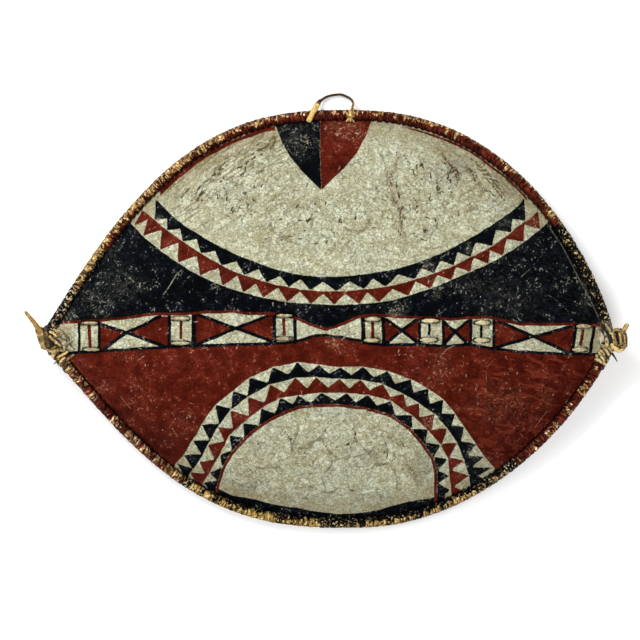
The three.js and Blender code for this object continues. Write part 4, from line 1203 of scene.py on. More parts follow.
    # painted wrinkles in the leathery parts: on the red, painted shade in their lines and painted highlights on their
    # ridges; on the black, painted highlights along the lines
    fold = n.noise(1.0, 3, 0.55, n.turned((34.0, 105.0, 34.0), math.radians(14)), 0.6)
    wrinkle_shade_and_glint = n.between(n.math("ABSOLUTE", n.math("SUBTRACT", fold, 0.5)), 0.0, 0.035, 1.0, 0.0)
    red = n.mix(times(times(wrinkle_shade_and_glint, n.attr("leather")), 0.75), red, srgb(38, 8, 3))
    red = n.mix(times(times(n.between(fold, 0.53, 0.62), n.attr("leather")), 0.55), red, srgb(116, 46, 30))
    soot = n.mix(times(times(wrinkle_shade_and_glint, n.attr("leather")), 0.5), soot, srgb(44, 48, 50))
    paint_shade = n.between(dim, 0.0, 1.0, 1.0, 0.42)
    red, soot = n.times(red, paint_shade), n.times(soot, paint_shade)
    # dust and hair scratches in the paint, and pale specks that are partly painted glints on the glossy paint
    haze = times(n.between(cloud, 0.40, 0.62), n.between(dust, 0.05, 1.0, 0.0, 0.75))
    red = n.mix(times(haze, 0.4), red, srgb(146, 88, 68))
    soot = n.mix(times(haze, 0.5), soot, srgb(98, 100, 92))
    strokes = n.math("MAXIMUM", dashes(35, 50.0, 330.0, 0.68, 1), dashes(-52, 55.0, 340.0, 0.69, 2))
    strokes = n.math("MAXIMUM", strokes, dashes(82, 70.0, 330.0, 0.70, 3))
    specks_and_glints = n.between(n.noise(270.0, 2, 0.5), 0.615, 0.65)
    marks = n.math("MAXIMUM", strokes, specks_and_glints)
    amount = n.math("ADD", n.between(dust, 0.1, 0.9, 0.0, 0.95), times(n.between(mid, 0.52, 0.60), 0.6), clamp=True)
    red = n.mix(times(times(marks, amount), 0.5), red, srgb(186, 140, 110))
    soot = n.mix(times(times(marks, amount), 0.75), soot, srgb(160, 158, 138))
    flake = n.between(n.math("ADD", n.noise(210.0, 5, 0.8), times(dust, 0.14)), 0.69, 0.715)

    colour = pale
    for name, c in (("red_a", red), ("black_a", soot), ("ground", pale), ("black_b", soot), ("red_b", red)):
        colour = n.mix(coat(name), colour, c)
    # paint worn off in small chips
    colour = n.mix(times(flake, 0.8), colour, n.mix(n.between(small, 0.4, 0.6), srgb(126, 104, 72), srgb(190, 178, 148)))
    on_paint = n.between(n.math("MINIMUM", n.math("MINIMUM", n.attr("red_a"), n.attr("black_a")), n.math("MINIMUM", n.attr("black_b"), n.attr("red_b"))), 0.4, -0.4)
    nick = n.between(n.math("ADD", n.attr("scratch"), times(edge_noise, 0.5)), -0.35, 0.5, 1.0, 0.0)
    on_black = n.between(n.math("MINIMUM", n.attr("black_a"), n.attr("black_b")), 0.4, -0.4)
    nick_colour = n.mix(on_black, n.mix(n.between(mid, 0.4, 0.6), srgb(204, 168, 138), srgb(188, 140, 106)), n.mix(n.between(mid, 0.4, 0.6), srgb(190, 190, 172), srgb(150, 150, 136)))
    colour = n.mix(times(times(nick, n.between(small, 0.36, 0.56, 0.4, 0.8)), on_paint), colour, nick_colour)
    colour = n.mix(times(n.between(n.math("ADD", n.attr("crease"), edge_noise), -0.1, 0.9, 1.0, 0.0), n.between(small, 0.42, 0.56, 0.12, 0.6)), colour, srgb(140, 134, 112))
    # painted shade in the groove along the roll, in the lacing holes and along the sides of the thong bars
    groove_shade = n.between(n.math("ADD", n.attr("rim_mm"), times(n.math("SUBTRACT", small, 0.5), 4.0)), 16.6, 19.2, 0.08, 1.0)
    colour = n.times(colour, groove_shade)
    colour = n.times(colour, n.between(n.math("ADD", n.attr("hole"), times(n.math("SUBTRACT", small, 0.5), 4.0)), 2.4, 4.8, 0.06, 1.0))
    colour = n.times(colour, n.between(n.math("ADD", n.attr("bar"), times(n.math("SUBTRACT", small, 0.5), 6.0)), 3.8, 5.6, 0.42, 1.0))
    colour = n.times(colour, n.between(grit, 0.32, 0.68, 0.78, 1.18))
    height = n.math("ADD", times(small, 0.55), times(grit, 0.3))
    height = n.math("ADD", height, times(cloud, 0.5))
    height = n.math("ADD", height, times(times(brush, streak_at), 0.5))
    height = n.math("SUBTRACT", height, times(net, 0.25))
    rough = n.between(small, 0.3, 0.7, 0.42, 0.64)
    return n.finish(colour, rough, n.bump(height, 1.0, 0.0026), 0.018)


def hide_back_material():
    n = Nodes("hide_back")
    big, mid, small = n.noise(7.0, 4, 0.6), n.noise(38.0, 4, 0.65), n.noise(260.0, 3, 0.6)
    hair = n.noise(5.0, 3, 0.6, n.scaled((18.0, 130.0, 60.0)))
    c = n.mix(n.between(big, 0.36, 0.66), srgb(92, 62, 38), srgb(136, 100, 64))
    c = n.mix(n.between(mid, 0.5, 0.72, 0.0, 0.65), c, srgb(58, 38, 25))
    c = n.mix(n.between(hair, 0.52, 0.7, 0.0, 0.4), c, srgb(160, 128, 88))
    c = n.times(c, n.between(small, 0.3, 0.7, 0.84, 1.1))
    h = n.math("ADD", n.math("MULTIPLY", hair, 0.6), n.math("MULTIPLY", mid, 0.5))
    return n.finish(c, n.between(mid, 0.3, 0.7, 0.5, 0.75), n.bump(h, 0.6, 0.0022), 0.25)


hide = build_hide()
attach(hide, "root")
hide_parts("hide")


# =====================================================================================
# The rim roll with its whipped turns
# =====================================================================================
def rim_material():
    n = Nodes("rim_lacing")
    times = lambda a, b: n.math("MULTIPLY", a, b)
    worn, tone, zone, f = n.attr("worn"), n.attr("tone"), n.attr("zone"), n.attr("turn")
    comb = n.t.nodes.new("ShaderNodeCombineXYZ")
    n.put(comb.inputs[0], times(f, 2.5))
    n.put(comb.inputs[1], times(n.attr("round"), 1.15))
    n.put(comb.inputs[2], times(tone, 2.0))
    fibre = n.noise(1.0, 3, 0.6, comb.outputs[0], 0.12)
    shift = n.t.nodes.new("ShaderNodeVectorMath")
    shift.operation = "ADD"
    n.put(shift.inputs[0], comb.outputs[0])
    shift.inputs[1].default_value = (17.0, 5.0, 3.0)
    strand = n.noise(1.25, 3, 0.55, shift.outputs[0])
    mid = n.noise(95.0, 4, 0.65)
    fine = n.noise(300.0, 3, 0.65)
    red = n.mix(n.between(fibre, 0.36, 0.62), srgb(26, 5, 1), srgb(108, 40, 25))
    red = n.mix(n.between(mid, 0.52, 0.66, 0.0, 0.7), red, srgb(40, 14, 7))
    soot = n.mix(n.between(fibre, 0.44, 0.66), srgb(1, 1, 1), srgb(22, 21, 17))
    paint_colour = n.mix(zone, soot, red)
    bare = n.mix(n.attr("gold"), srgb(154, 104, 76), srgb(166, 136, 70))
    bare = n.mix(n.between(strand, 0.40, 0.52, 0.95, 0.0), bare, srgb(58, 32, 16))
    # painted highlights on the bare rawhide
    bare = n.mix(n.between(n.math("ADD", times(strand, 0.6), times(fine, 0.4)), 0.535, 0.60, 0.0, 0.9), bare, n.mix(n.attr("gold"), srgb(236, 216, 182), srgb(226, 198, 132)))
    w = n.math("ADD", times(fibre, 2.1), n.math("ADD", times(mid, 0.6), times(fine, 0.4)))
    w = n.math("ADD", n.math("SUBTRACT", w, 1.55), times(worn, 0.55))
    w = n.math("ADD", w, times(n.math("SUBTRACT", n.attr("crown"), 0.75), 0.2))
    colour = n.mix(n.between(w, 0.31, 0.38), paint_colour, bare)
    fleck = times(times(n.between(n.noise(310.0, 2, 0.5), 0.575, 0.60), n.between(mid, 0.42, 0.54)), n.math("SUBTRACT", 1.0, zone))
    colour = n.mix(times(fleck, n.between(worn, 0.25, 0.6, 0.85, 0.2)), colour, n.mix(n.attr("gold"), srgb(214, 204, 182), srgb(214, 186, 124)))
    colour = n.mix(n.attr("chalk"), colour, n.mix(n.between(fine, 0.4, 0.6), srgb(112, 102, 76), srgb(182, 176, 150)))
    colour = n.times(colour, n.math("ADD", 1.0, times(tone, 0.34)))
    # painted shade in the gaps between the turns
    gap_shade = n.between(n.attr("crown"), 0.25, 0.85, 0.95, 0.0)
    colour = n.times(colour, n.math("SUBTRACT", 1.0, times(gap_shade, n.attr("gap_shade"))))
    colour = n.times(colour, n.attr("shade"))
    colour = n.times(colour, n.between(fine, 0.34, 0.66, 0.78, 1.15))
    h = n.math("ADD", times(fibre, 0.7), times(fine, 0.3))
    return n.finish(colour, n.between(mid, 0.3, 0.7, 0.36, 0.6), n.bump(h, 0.9, 0.0018), 0.035)


# where handling has taken the paint off the roll: place along it, share, how golden the bare rawhide is, and how far
# over the roll from the outer edge (1) towards the inner (-1) it reaches
WEAR_UP = np.array([
    (30, 0.42, 0.7, -0.6), (58, 0.34, 0.4, -0.9), (72, 0.42, 0.6, -0.3), (100, 0.8, 0.8, 0.0), (122, 0.8, 0.7, -0.2), (160, 0.72, 0.5, -0.3),
    (200, 0.72, 0.6, -0.35), (230, 0.66, 0.5, 0.1), (255, 0.7, 0.6, -0.1), (290, 0.5, 0.4, 0.2), (350, 0.42, 0.3, 0.2), (400, 0.6, 0.5, 0.15),
    (425, 0.6, 0.6, 0.2), (450, 0.56, 0.6, 0.45), (500, 0.55, 0.6, 0.5), (540, 0.5, 0.7, 0.45), (549, 0.7, 0.9, -0.2), (557, 0.32, 0.9, 0.4),
    (575, 0.12, 0.95, 0.6), (590, 0.0, 0.9, 0.6), (608, 0.0, 0.9, 0.5), (625, 0.4, 0.9, 0.2)])
WEAR_LOW = np.array([
    (36, 0.85, 0.7, -0.8), (75, 0.72, 0.4, -0.9), (110, 0.55, 0.1, -0.8), (150, 0.6, 0.2, -0.7), (175, 0.75, 0.5, -0.6), (200, 0.66, 0.9, -0.4),
    (240, 0.8, 1.0, -0.1), (270, 0.75, 1.0, 0.1), (300, 0.85, 1.0, 0.1), (345, 0.35, 0.8, 0.3), (380, 0.85, 0.9, 0.1), (430, 0.7, 0.8, 0.1),
    (470, 0.42, 0.7, 0.0), (500, 0.26, 0.45, -0.3), (530, 0.14, 0.3, -0.5), (560, 0.1, 0.3, -0.5), (590, 0.26, 0.5, -0.6), (625, 0.85, 0.8, -0.8)])


def rim_centre(per):
    """Points of the roll's centre line at a length along it, from the left tip over the upper side."""
    per = np.asarray(per, float) % PERIMETER
    up = per <= ARC_UP[-1]
    xu = np.interp(per, ARC_UP, _rx)
    xl = np.interp(PERIMETER - per, ARC_LOW, _rx)
    x = np.where(up, xu, xl)
    y = np.where(up, upper_y(x, RIM_R), lower_y(x, RIM_R))
    return np.stack([x, y, RIM_R + rise(x)], 1)


def build_rim():
    turns = int(round(PERIMETER / RIM_HOLES * 1.12))
    r = np.random.default_rng(11)
    widths = 1 + r.uniform(-0.34, 0.34, turns)
    narrow = r.random(turns) < 0.09
    widths[narrow] *= 0.5
    bounds = np.r_[0, np.cumsum(widths)] / widths.sum() * PERIMETER
    per_turn = 8
    steps = turns * per_turn
    s = np.concatenate([np.linspace(bounds[k], bounds[k + 1], per_turn, endpoint=False) for k in range(turns)])
    # round off the corners at the two tips
    c = rim_centre(s)
    for _ in range(10):
        near_tip = (np.minimum(s, PERIMETER - s) < 26) | (np.abs(s - ARC_UP[-1]) < 26)
        avg = (np.roll(c, 1, 0) + np.roll(c, -1, 0)) / 2
        c = np.where(near_tip[:, None], avg, c)
    t = tangents(c, True)
    flat = t.copy()
    flat[:, 2] = 0
    flat /= np.linalg.norm(flat, axis=1, keepdims=True)
    out = np.stack([-flat[:, 1], flat[:, 0], np.zeros(steps)], 1)
    upv = np.array([0.0, 0.0, 1.0])
    sides = 22
    ang = np.arange(sides) * 2 * np.pi / sides
    slant = 3.4 * np.sin(ang)[None] + 1.0 * np.cos(ang)[None]
    pos = (s[:, None] + slant) % PERIMETER
    k = np.clip(np.searchsorted(bounds, pos, side="right") - 1, 0, turns - 1)
    f = (pos - bounds[k]) / (bounds[k + 1] - bounds[k])
    lift, lean, tone = r.uniform(-0.35, 0.35, turns), r.uniform(-0.5, 0.5, turns), r.uniform(-1, 1, turns)
    crown = np.sqrt(np.maximum(0, 1 - np.abs(2 * f - 1) ** 2.8))
    radius = RIM_R - 1.15 + 1.15 * crown + 0.35 * vnoise(pos, ang[None] * RIM_R + 0 * pos, 3.2, 45) + lift[k] * crown + lean[k] * (f - 0.5) * crown
    radius += 0.9 * crown * smooth(-0.55, -0.95, np.cos(ang))[None]
    radius = np.minimum(radius, RIM_R + 0.9)
    v = c[:, None] + out[:, None] * (radius * np.cos(ang)[None])[..., None] + upv * (radius * np.sin(ang)[None])[..., None]
    v[..., 2] = np.maximum(v[..., 2], 0.15)
    # where the coats of paint change, and where handling has taken the paint off
    u = 320 + (c[:, 0] - EYE_X) / UNIT
    upper = np.array(s <= ARC_UP[-1])
    zone = np.where(upper, (u > 105) & (u < 556), (u < 185) | (u > 515)).astype(float)
    # the outer edge has lost most; the foot keeps its soot on the inner half
    share = np.where(upper, np.interp(u, WEAR_UP[:, 0], WEAR_UP[:, 1]), np.interp(u, WEAR_LOW[:, 0], WEAR_LOW[:, 1]))
    gold = np.where(upper, np.interp(u, WEAR_UP[:, 0], WEAR_UP[:, 2]), np.interp(u, WEAR_LOW[:, 0], WEAR_LOW[:, 2]))
    reach = np.where(upper, np.interp(u, WEAR_UP[:, 0], WEAR_UP[:, 3]), np.interp(u, WEAR_LOW[:, 0], WEAR_LOW[:, 3]))
    worn_turn = r.uniform(-0.3, 0.3, turns) + 0.12 * vnoise(np.arange(turns), np.zeros(turns), 6, 43)
    low_side = (~upper)[:, None] * smooth(60, 90, u)[:, None]
    bright = narrow
    # how deep the painted shade between turns goes: less on the upper side
    gap_shade = np.where(upper, 0.75, 1.0)
    chalk = np.where(upper, smooth(603, 607, u) * 0.9 + smooth(47, 43, u) * 0.5, 0.0)
    across = np.cos(ang)[None] + 0.22 * vnoise(pos, ang[None] * 3 + 0 * pos, 5.0, 47)
    worn = share[:, None] + worn_turn[k] * (1 + 0.9 * low_side) - 1.1 * smooth(reach[:, None] + 0.22, reach[:, None] - 0.3, across)
    worn += np.where(bright[k], 1.1 * smooth(-0.8, -0.2, np.cos(ang))[None], 0.0)
    black_edge = upper & (u < 78)
    worn -= 0.8 * smooth(0.35, 0.75, across) * black_edge[:, None]
    worn -= 0.35 * smooth(0.2, -0.5, np.sin(ang))[None]
    shade = (0.08 + 0.92 * smooth(-1.0, 0.35, np.cos(ang))) * (0.45 + 0.55 * smooth(1.0, 0.86, np.cos(ang)))
    shade = np.where(np.sin(ang) < -0.3, 0.8, shade)
    idx = np.arange(steps * sides).reshape(steps, sides)
    a0, b0 = idx, np.roll(idx, -1, 0)
    faces = np.stack([a0, np.roll(a0, -1, 1), np.roll(b0, -1, 1), b0], -1).reshape(-1, 4).tolist()
    verts = v.reshape(-1, 3)
    if signed_volume(verts, faces[:: max(1, len(faces) // 20000)]) < 0:
        faces = [list(reversed(q)) for q in faces]
    attributes = dict(
        worn=worn.ravel(),
        tone=tone[k].ravel(),
        zone=np.broadcast_to(zone[:, None], (steps, sides)).ravel(),
        turn=(k * 1.37 + f).ravel(),
        round=np.broadcast_to(ang[None], (steps, sides)).ravel(),
        crown=crown.ravel(),
        chalk=np.broadcast_to(chalk[:, None], (steps, sides)).ravel(),
        shade=np.broadcast_to(shade[None], (steps, sides)).ravel(),
        gap_shade=np.broadcast_to(gap_shade[:, None], (steps, sides)).ravel(),
        gold=np.broadcast_to(gold[:, None], (steps, sides)).ravel(),
    )
    return make_mesh("rim_whipping", verts, faces, [rim_material()], attributes)


rim = build_rim()
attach(rim, "root")
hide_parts("rim_lacing")


# =====================================================================================
# Stave, lashings, tip bindings
# =====================================================================================
def wood_material():
    n = Nodes("stave_wood")
    grain = n.noise(6.0, 5, 0.65, n.scaled((3.0, 62.0, 62.0)), 0.4)
    rings = n.noise(3.0, 3, 0.6, n.scaled((2.0, 26.0, 26.0)))
    fine = n.noise(300.0, 2, 0.6, n.scaled((0.12, 1.0, 1.0)))
    c = n.mix(n.between(grain, 0.35, 0.66), srgb(70, 43, 24), srgb(134, 92, 54))
    c = n.mix(n.between(rings, 0.45, 0.7, 0.0, 0.5), c, srgb(52, 30, 18))
    c = n.times(c, n.between(fine, 0.3, 0.7, 0.84, 1.1))
    c = n.mix(n.math("MULTIPLY", n.attr("grip"), 0.55), c, srgb(44, 25, 15))
    h = n.math("ADD", n.math("MULTIPLY", grain, 0.6), n.math("MULTIPLY", fine, 0.3))
    rough = n.math("SUBTRACT", n.between(grain, 0.3, 0.7, 0.5, 0.64), n.math("MULTIPLY", n.attr("grip"), 0.16))
    return n.finish(c, rough, n.bump(h, 0.5, 0.001), 0.35)


def build_stave():
    steps, sides = 220, 20
    xs = np.linspace(STAVE_ENDS[0] + 1.5, STAVE_ENDS[1] - 1.5, steps + 1)
    p = np.array([(x, stave_y(x), stave_z(x)) for x in xs])
    k = np.ones(5) / 5
    for c in (1, 2):
        q = np.convolve(np.pad(p[:, c], 2, mode="edge"), k, mode="valid")
        p[:, c] = q
    t = (np.arange(steps + 1) / steps) * 2 - 1
    taper = 1 - 0.5 * np.abs(t) ** 8
    grip = np.array([grip_bow(x) for x in xs]) / GRIP_DEPTH
    # adzed, not turned: the sides waver a little
    wav = 1 + 0.03 * vnoise(xs, xs * 0, 28, 51)
    hw = STAVE_W / 2 * taper * (1 + 0.2 * grip) * wav - 0.3
    ht = STAVE_T / 2 * taper * (1 + 0.15 * grip) * (2 - wav) - 0.3
    # rounded ends
    endr = np.sqrt(np.clip(1 - np.clip((np.abs(t) - 0.99) / 0.01, 0, 1) ** 2, 0.03, 1))
    p[:, 2] -= 0.0
    v, f, a, s = sweep(p, False, np.array([0.0, 0, 1]), hw * endr, ht * endr, sides, 0.75, 0.012, 5)
    if signed_volume(v, f) < 0:
        f = [list(reversed(q)) for q in f]
    g = np.repeat(smooth(0.2, 1.0, grip), sides)
    return make_mesh("stave_carved", v, f, [wood_material()], {"grip": g})


stave = build_stave()
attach(stave, "root")
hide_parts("stave")

THONG_R = 1.8


def lashing_path(l):
    y0, h = stave_y(l["x"]), l["half"]
    xt, xb = l["x"], l["x"] + l["lean"]
    front = lambda x, y: (x, y, float(outer_z(x, y)) + THONG_R + 0.7)

    def leg(s):
        # each leg passes under the lowest wood it crosses: the stave slopes, and falls away at the grip
        m = (xt + xb) / 2 + s * h
        near = [m + d for d in (-4.0, -2.0, 0.0, 2.0, 4.0)]
        wood = min(stave_z(x) - STAVE_T / 2 * (1 + 0.15 * grip_bow(x) / GRIP_DEPTH) for x in near)
        below = wood - THONG_R - 1.0
        wide = STAVE_W / 2 * (1 + 0.2 * max(grip_bow(x) for x in near) / GRIP_DEPTH) + THONG_R + 1.4
        return [
            (xt + s * h, l["top"], float(inner_z(xt, l["top"])) - 5),
            (m, y0 + wide, below),
            (m, y0 - wide, below),
            (xb + s * h, l["bottom"], float(inner_z(xb, l["bottom"])) - 5),
        ]

    pts = [front(xt - h, l["top"]), front(xt + h, l["top"])] + leg(1)
    pts += [front(xb + h, l["bottom"]), front(xb - h, l["bottom"])] + leg(-1)[::-1]
    return np.array(pts)


for number, l in enumerate(LASHINGS, 1):
    p = chaikin(lashing_path(l), True, 3)
    p, s = resample(p, True, 1.5)
    up = p - np.array([l["x"] + l["lean"] / 2, stave_y(l["x"]), stave_z(l["x"]) + 4])
    up[:, 0] *= 0.2
    r = np.random.default_rng(100 + number)
    on_front = smooth(-0.5, 2.5, p[:, 2] - outer_z(p[:, 0], p[:, 1]))
    wide = {1: 3.0, 2: 3.4, 3: 3.2, 4: 4.0, 5: 4.4, 6: 4.3, 7: 4.2}[number]
    lower_side = p[:, 1] < (l["top"] + l["bottom"]) / 2
    wide = np.where(lower_side & (number == 5), 5.0, wide)
    middle = np.clip(1 - (np.abs(p[:, 0] - l["x"] - np.where(lower_side, l["lean"], 0)) / (l["half"] + 0.6)) ** 4, 0, 1) ** 0.6
    hw = 1.75 + on_front * (wide - 1.9) * (0.25 + 0.75 * middle) + (0.3 + 0.35 * on_front) * vnoise(s, s * 0, 4, 60 + number)
    ht = 1.5 + on_front * 0.1 * middle
    parts = Parts()
    tone = {1: -0.08, 2: 0.02, 3: -0.08, 4: 0.0, 5: 0.16, 6: 0.14, 7: -0.05}[number] + np.where(lower_side, 0.08, -0.04)
    tone = tone + 0.0 * s
    tone = tone + 0.16 * vnoise(s, s * 0, 5, 80 + number)
    gold = {1: -0.06, 2: -0.12, 3: -0.18, 4: -0.14, 5: -0.2, 6: -0.24, 7: -0.22}[number]
    parts.add(sweep(p, True, up, hw * (1 + 0.22 * on_front * vnoise(s, s * 0, 2.6, 90 + number)), ht, 14, 0.62, 0.26, number), tone + 0.14 * on_front * vnoise(s, s * 0, 3, 95 + number), gold)
    ob = parts.object(f"lashing_{number}_thong", THONG_PALE)
    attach(ob, "root")
    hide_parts(f"lashing_{number}")


def add_turn(parts, per, wide, thick, tone, seed, slant=3.0, proud=0.0, chalk=0.0):
    """A flat strip wound once round the roll."""
    c = rim_centre(np.array([per - 1, per, per + 1]))
    p0, t = c[1], (c[2] - c[0]) / np.linalg.norm(c[2] - c[0])
    out = np.array([-t[1], t[0], 0])
    out /= np.linalg.norm(out)
    up = np.cross(out, t)
    up = -up if up[2] < 0 else up
    a = np.arange(48) * 2 * np.pi / 48
    r = RIM_R + thick * 0.5 + proud + 0.5 * vnoise(a * 4, a * 0, 1.5, seed)
    w = wide * (1 + 0.16 * vnoise(a * 3, a * 0 + seed, 1.3, seed + 1))
    p = p0 + out * (r * np.cos(a))[:, None] + up * (r * np.sin(a))[:, None] + t * (slant * np.sin(a))[:, None]
    twist = t[None] * (0.35 * vnoise(a * 3, a * 0, 1.7, seed + 2))[:, None]
    parts.add(sweep(p, True, (p - p0) / r.mean() + twist, w, thick, 12, 0.62, 0.14, seed), tone + 0.14 * vnoise(a * 4, a * 0, 1.6, seed + 4), chalk)


def ring(parts, u, v, half_v, half_z, lean, wide, thick, tone, seed, chalk=0.0, dz=0.0, twist=0.0, vary=0.14):
    """A strip wound round the whole tip, seen edge on from above: centre and half length on the design's grid."""
    x, y = (u - 320) * UNIT + EYE_X, (320 - v) * UNIT + EYE_Y
    z = float(RIM_R + rise(min(max(x, TIPS[0]), TIPS[1]))) + dz
    a = np.arange(56) * 2 * np.pi / 56
    ca, sa = np.cos(a), np.sin(a)
    # squarish: flat over the top and underneath
    cy, cz = np.sign(ca) * np.abs(ca) ** 0.8, np.sign(sa) * np.abs(sa) ** 0.72
    wob = 1 + 0.05 * vnoise(a * 3, a * 0, 1.4, seed)
    p = np.stack([x - lean * UNIT * cy, y + half_v * UNIT * cy * wob, z + half_z * cz * wob], 1)
    w = wide * UNIT * (1 + 0.14 * vnoise(a * 3, a * 0 + seed, 1.3, seed + 1))
    upv = p - np.array([x, y, z])
    upv[:, 0] = 0
    upv /= np.linalg.norm(upv, axis=1, keepdims=True)
    upv[:, 0] = twist + 0.25 * vnoise(a * 3, a * 0, 1.5, seed + 3)
    parts.add(sweep(p, True, upv, w, thick, 14, 0.6, 0.14, seed), tone + vary * vnoise(a * 4, a * 0, 1.6, seed + 4), chalk)


def core(parts, pts, radii_y, radii_z, tone, seed):
    """The wadded hide inside a knot."""
    p, s = resample(catmull(np.array(pts, float), 8), False, 1.5)
    t = np.linspace(0, 1, len(p))
    ry = np.interp(t, np.linspace(0, 1, len(radii_y)), radii_y)
    rz = np.interp(t, np.linspace(0, 1, len(radii_z)), radii_z)
    ends = np.sqrt(np.clip(1 - np.clip((np.abs(t * 2 - 1) - 0.7) / 0.3, 0, 1) ** 2, 0.03, 1))
    parts.add(sweep(p, False, np.array([0, 0, 1.0]), ry * ends, rz * ends, 20, 0.85, 0.16, seed), tone)


def add_point(parts, pts, thick, thin, tone, seed, flat=0.75, chalk=0.0):
    p, s = resample(chaikin(pts, False, 3), False, 1.3)
    t = np.linspace(0, 1, len(p))
    hw = thick + (thin - thick) * t
    hw = hw * np.sqrt(np.clip(1 - np.clip((t - 0.9) / 0.1, 0, 1) ** 2, 0.02, 1))
    hw[0] *= 0.5
    parts.add(sweep(p, False, np.array([0, 0, 1.0]), hw, hw * flat, 12, 0.85, 0.1, seed), tone, chalk)


LEFT_TOP = float(edge_z(TIP_LEFT_X + 20)) + RIM_R
RIGHT_TOP = float(edge_z(TIP_RIGHT_X - 20)) + RIM_R


def top_of(x, y):
    """Height of the roll or of the hide under a point."""
    x, y = np.asarray(x, float), np.asarray(y, float)
    d = np.maximum(rim_distance(x, y), 2.5)
    roll = RIM_R + rise(x) + np.sqrt(np.maximum(0, RIM_R**2 - (np.minimum(d, 2 * RIM_R) - RIM_R) ** 2))
    return np.where(d > 2 * RIM_R - 2, np.maximum(outer_z(x, y), RIM_R + rise(x)), roll)


def strap(parts, points, wide, thick, tone, seed, lift=1.0, rough=0.22, tilt=0.0, chalk=0.0):
    """A flat strip laid over the roll: points are (u, v, height over what is under it) on the painted design's grid,
    wide its half width at each, in the same units."""
    q = np.array([(a[0], a[1], (a[2] if len(a) > 2 else 0.0) + lift) for a in points], float)
    x, y = (q[:, 0] - 320) * UNIT + EYE_X, (320 - q[:, 1]) * UNIT + EYE_Y
    k = (EYE_Z - 50.0) / (EYE_Z - PLANE_Z)
    x, y = EYE_X + (x - EYE_X) * k, EYE_Y + (y - EYE_Y) * k
    line_3d = catmull(np.stack([x, y, q[:, 2]], 1), 8)
    p, s = resample(line_3d, False, 1.2)
    ground = top_of(p[:, 0], p[:, 1])
    k5 = np.ones(7) / 7
    ground = np.convolve(np.pad(ground, 3, mode="edge"), k5, mode="valid")
    p[:, 2] += ground
    share = s / s[-1]
    hw = np.interp(share, np.linspace(0, 1, len(wide)), wide) * UNIT
    hw *= 1 + 0.14 * vnoise(s, s * 0, 5, seed)
    ends = np.sqrt(np.clip(1 - np.clip((np.abs(share * 2 - 1) - 0.86) / 0.14, 0, 1) ** 2, 0.06, 1))
    ht = np.full(len(p), thick) * (0.35 + 0.65 * ends)
    up = np.stack([np.full(len(p), 0.0), np.full(len(p), 0.0), np.ones(len(p))], 1)
    e = 1.5
    gx = (top_of(p[:, 0] + e, p[:, 1]) - top_of(p[:, 0] - e, p[:, 1])) / (2 * e)
    gy = (top_of(p[:, 0], p[:, 1] + e) - top_of(p[:, 0], p[:, 1] - e)) / (2 * e)
    up[:, 0], up[:, 1] = -np.clip(gx, -1, 1), -np.clip(gy, -1, 1)
    side_dir = np.cross(tangents(p, False), up)
    up = up + side_dir * (tilt + 0.35 * vnoise(s, s * 0, 6, seed + 5))[:, None]
    # short cuts and folds show as steps along the strip
    p[:, 2] += 0.7 * vnoise(s, s * 0, 4.5, seed + 9)
    parts.add(sweep(p, False, up, hw * ends, ht, 12, 0.62, rough, seed), tone + 0.12 * vnoise(s, s * 0, 5, seed + 3), chalk)


left = Parts()
core(left, [(-440, -37, 47), (-425, -36, 45), (-408, -35, 42)], [9, 12, 8], [9, 10, 6], -0.75, 70)
# turns round the roll below the tip
for share, wide, tone, slant in ((0.9912, 3.0, -0.25, 4.0), (0.9868, 4.2, 0.02, 7.5), (0.9822, 3.0, -0.45, -2.0), (0.9800, 2.2, 0.16, 6.5), (0.9755, 2.4, -0.3, 8.0)):
    add_turn(left, PERIMETER * share, wide, 1.1, tone, int(share * 10000), slant)
add_turn(left, PERIMETER * 0.0075, 3.0, 1.2, -1.1, 74, -2.0)
# the folded strip over the very tip
ring(left, 50.8, 339, 9.5, 12.0, 0.8, 3.2, 1.6, -0.62, 220)
ring(left, 47.2, 338.2, 10.2, 12.6, 1.4, 2.4, 1.7, -0.28, 221, twist=0.35)
ring(left, 42.2, 338.6, 9.8, 12.0, 2.7, 3.9, 2.2, -0.06, 222, twist=-0.4, vary=0.3)
# crumpled edge of the hide, and strips folded over it
strap(left, [(61, 333), (66, 337.5), (71.5, 335)], [2.0, 3.2, 1.4], 1.1, 0.1, 203, 0.8, 0.3, chalk=0.9)
strap(left, [(58, 338), (64, 342.5), (70, 347.5), (74.5, 349.6)], [1.6, 3.4, 3.2, 1.0], 1.1, 0.05, 204, 1.2, 0.3, 0.35, 0.95)
strap(left, [(64, 349.5), (66.5, 344), (72.5, 341)], [1.2, 2.6, 1.0], 1.0, 0.1, 205, 1.9, 0.3, -0.4, 0.9)
strap(left, [(66, 334.5), (68.5, 340), (69.5, 346.5)], [1.0, 1.7, 0.9], 1.0, -0.45, 206, 2.0, 0.25, chalk=0.4)
strap(left, [(53, 329), (58, 331.5), (64, 330.5)], [1.2, 1.8, 1.0], 1.2, -0.05, 208, 1.0, chalk=0.4)
strap(left, [(56, 334.4), (61, 335.5), (65, 333)], [1.0, 1.5, 0.8], 1.2, -0.3, 209, 1.6)
strap(left, [(49.4, 331.4), (53.4, 333.2), (57.5, 337)], [1.2, 1.8, 1.2], 1.5, 0.16, 210, 3.0)
strap(left, [(54.5, 342.6), (59, 347), (64.5, 350)], [1.4, 1.8, 1.2], 1.4, -0.45, 211, 2.4)
strap(left, [(49.2, 335.6), (52.4, 338.4), (56, 341), (61.6, 346.2)], [1.5, 2.1, 1.6, 1.8], 1.5, 0.02, 212, 5.0, 0.36, 0.35, chalk=0.1)
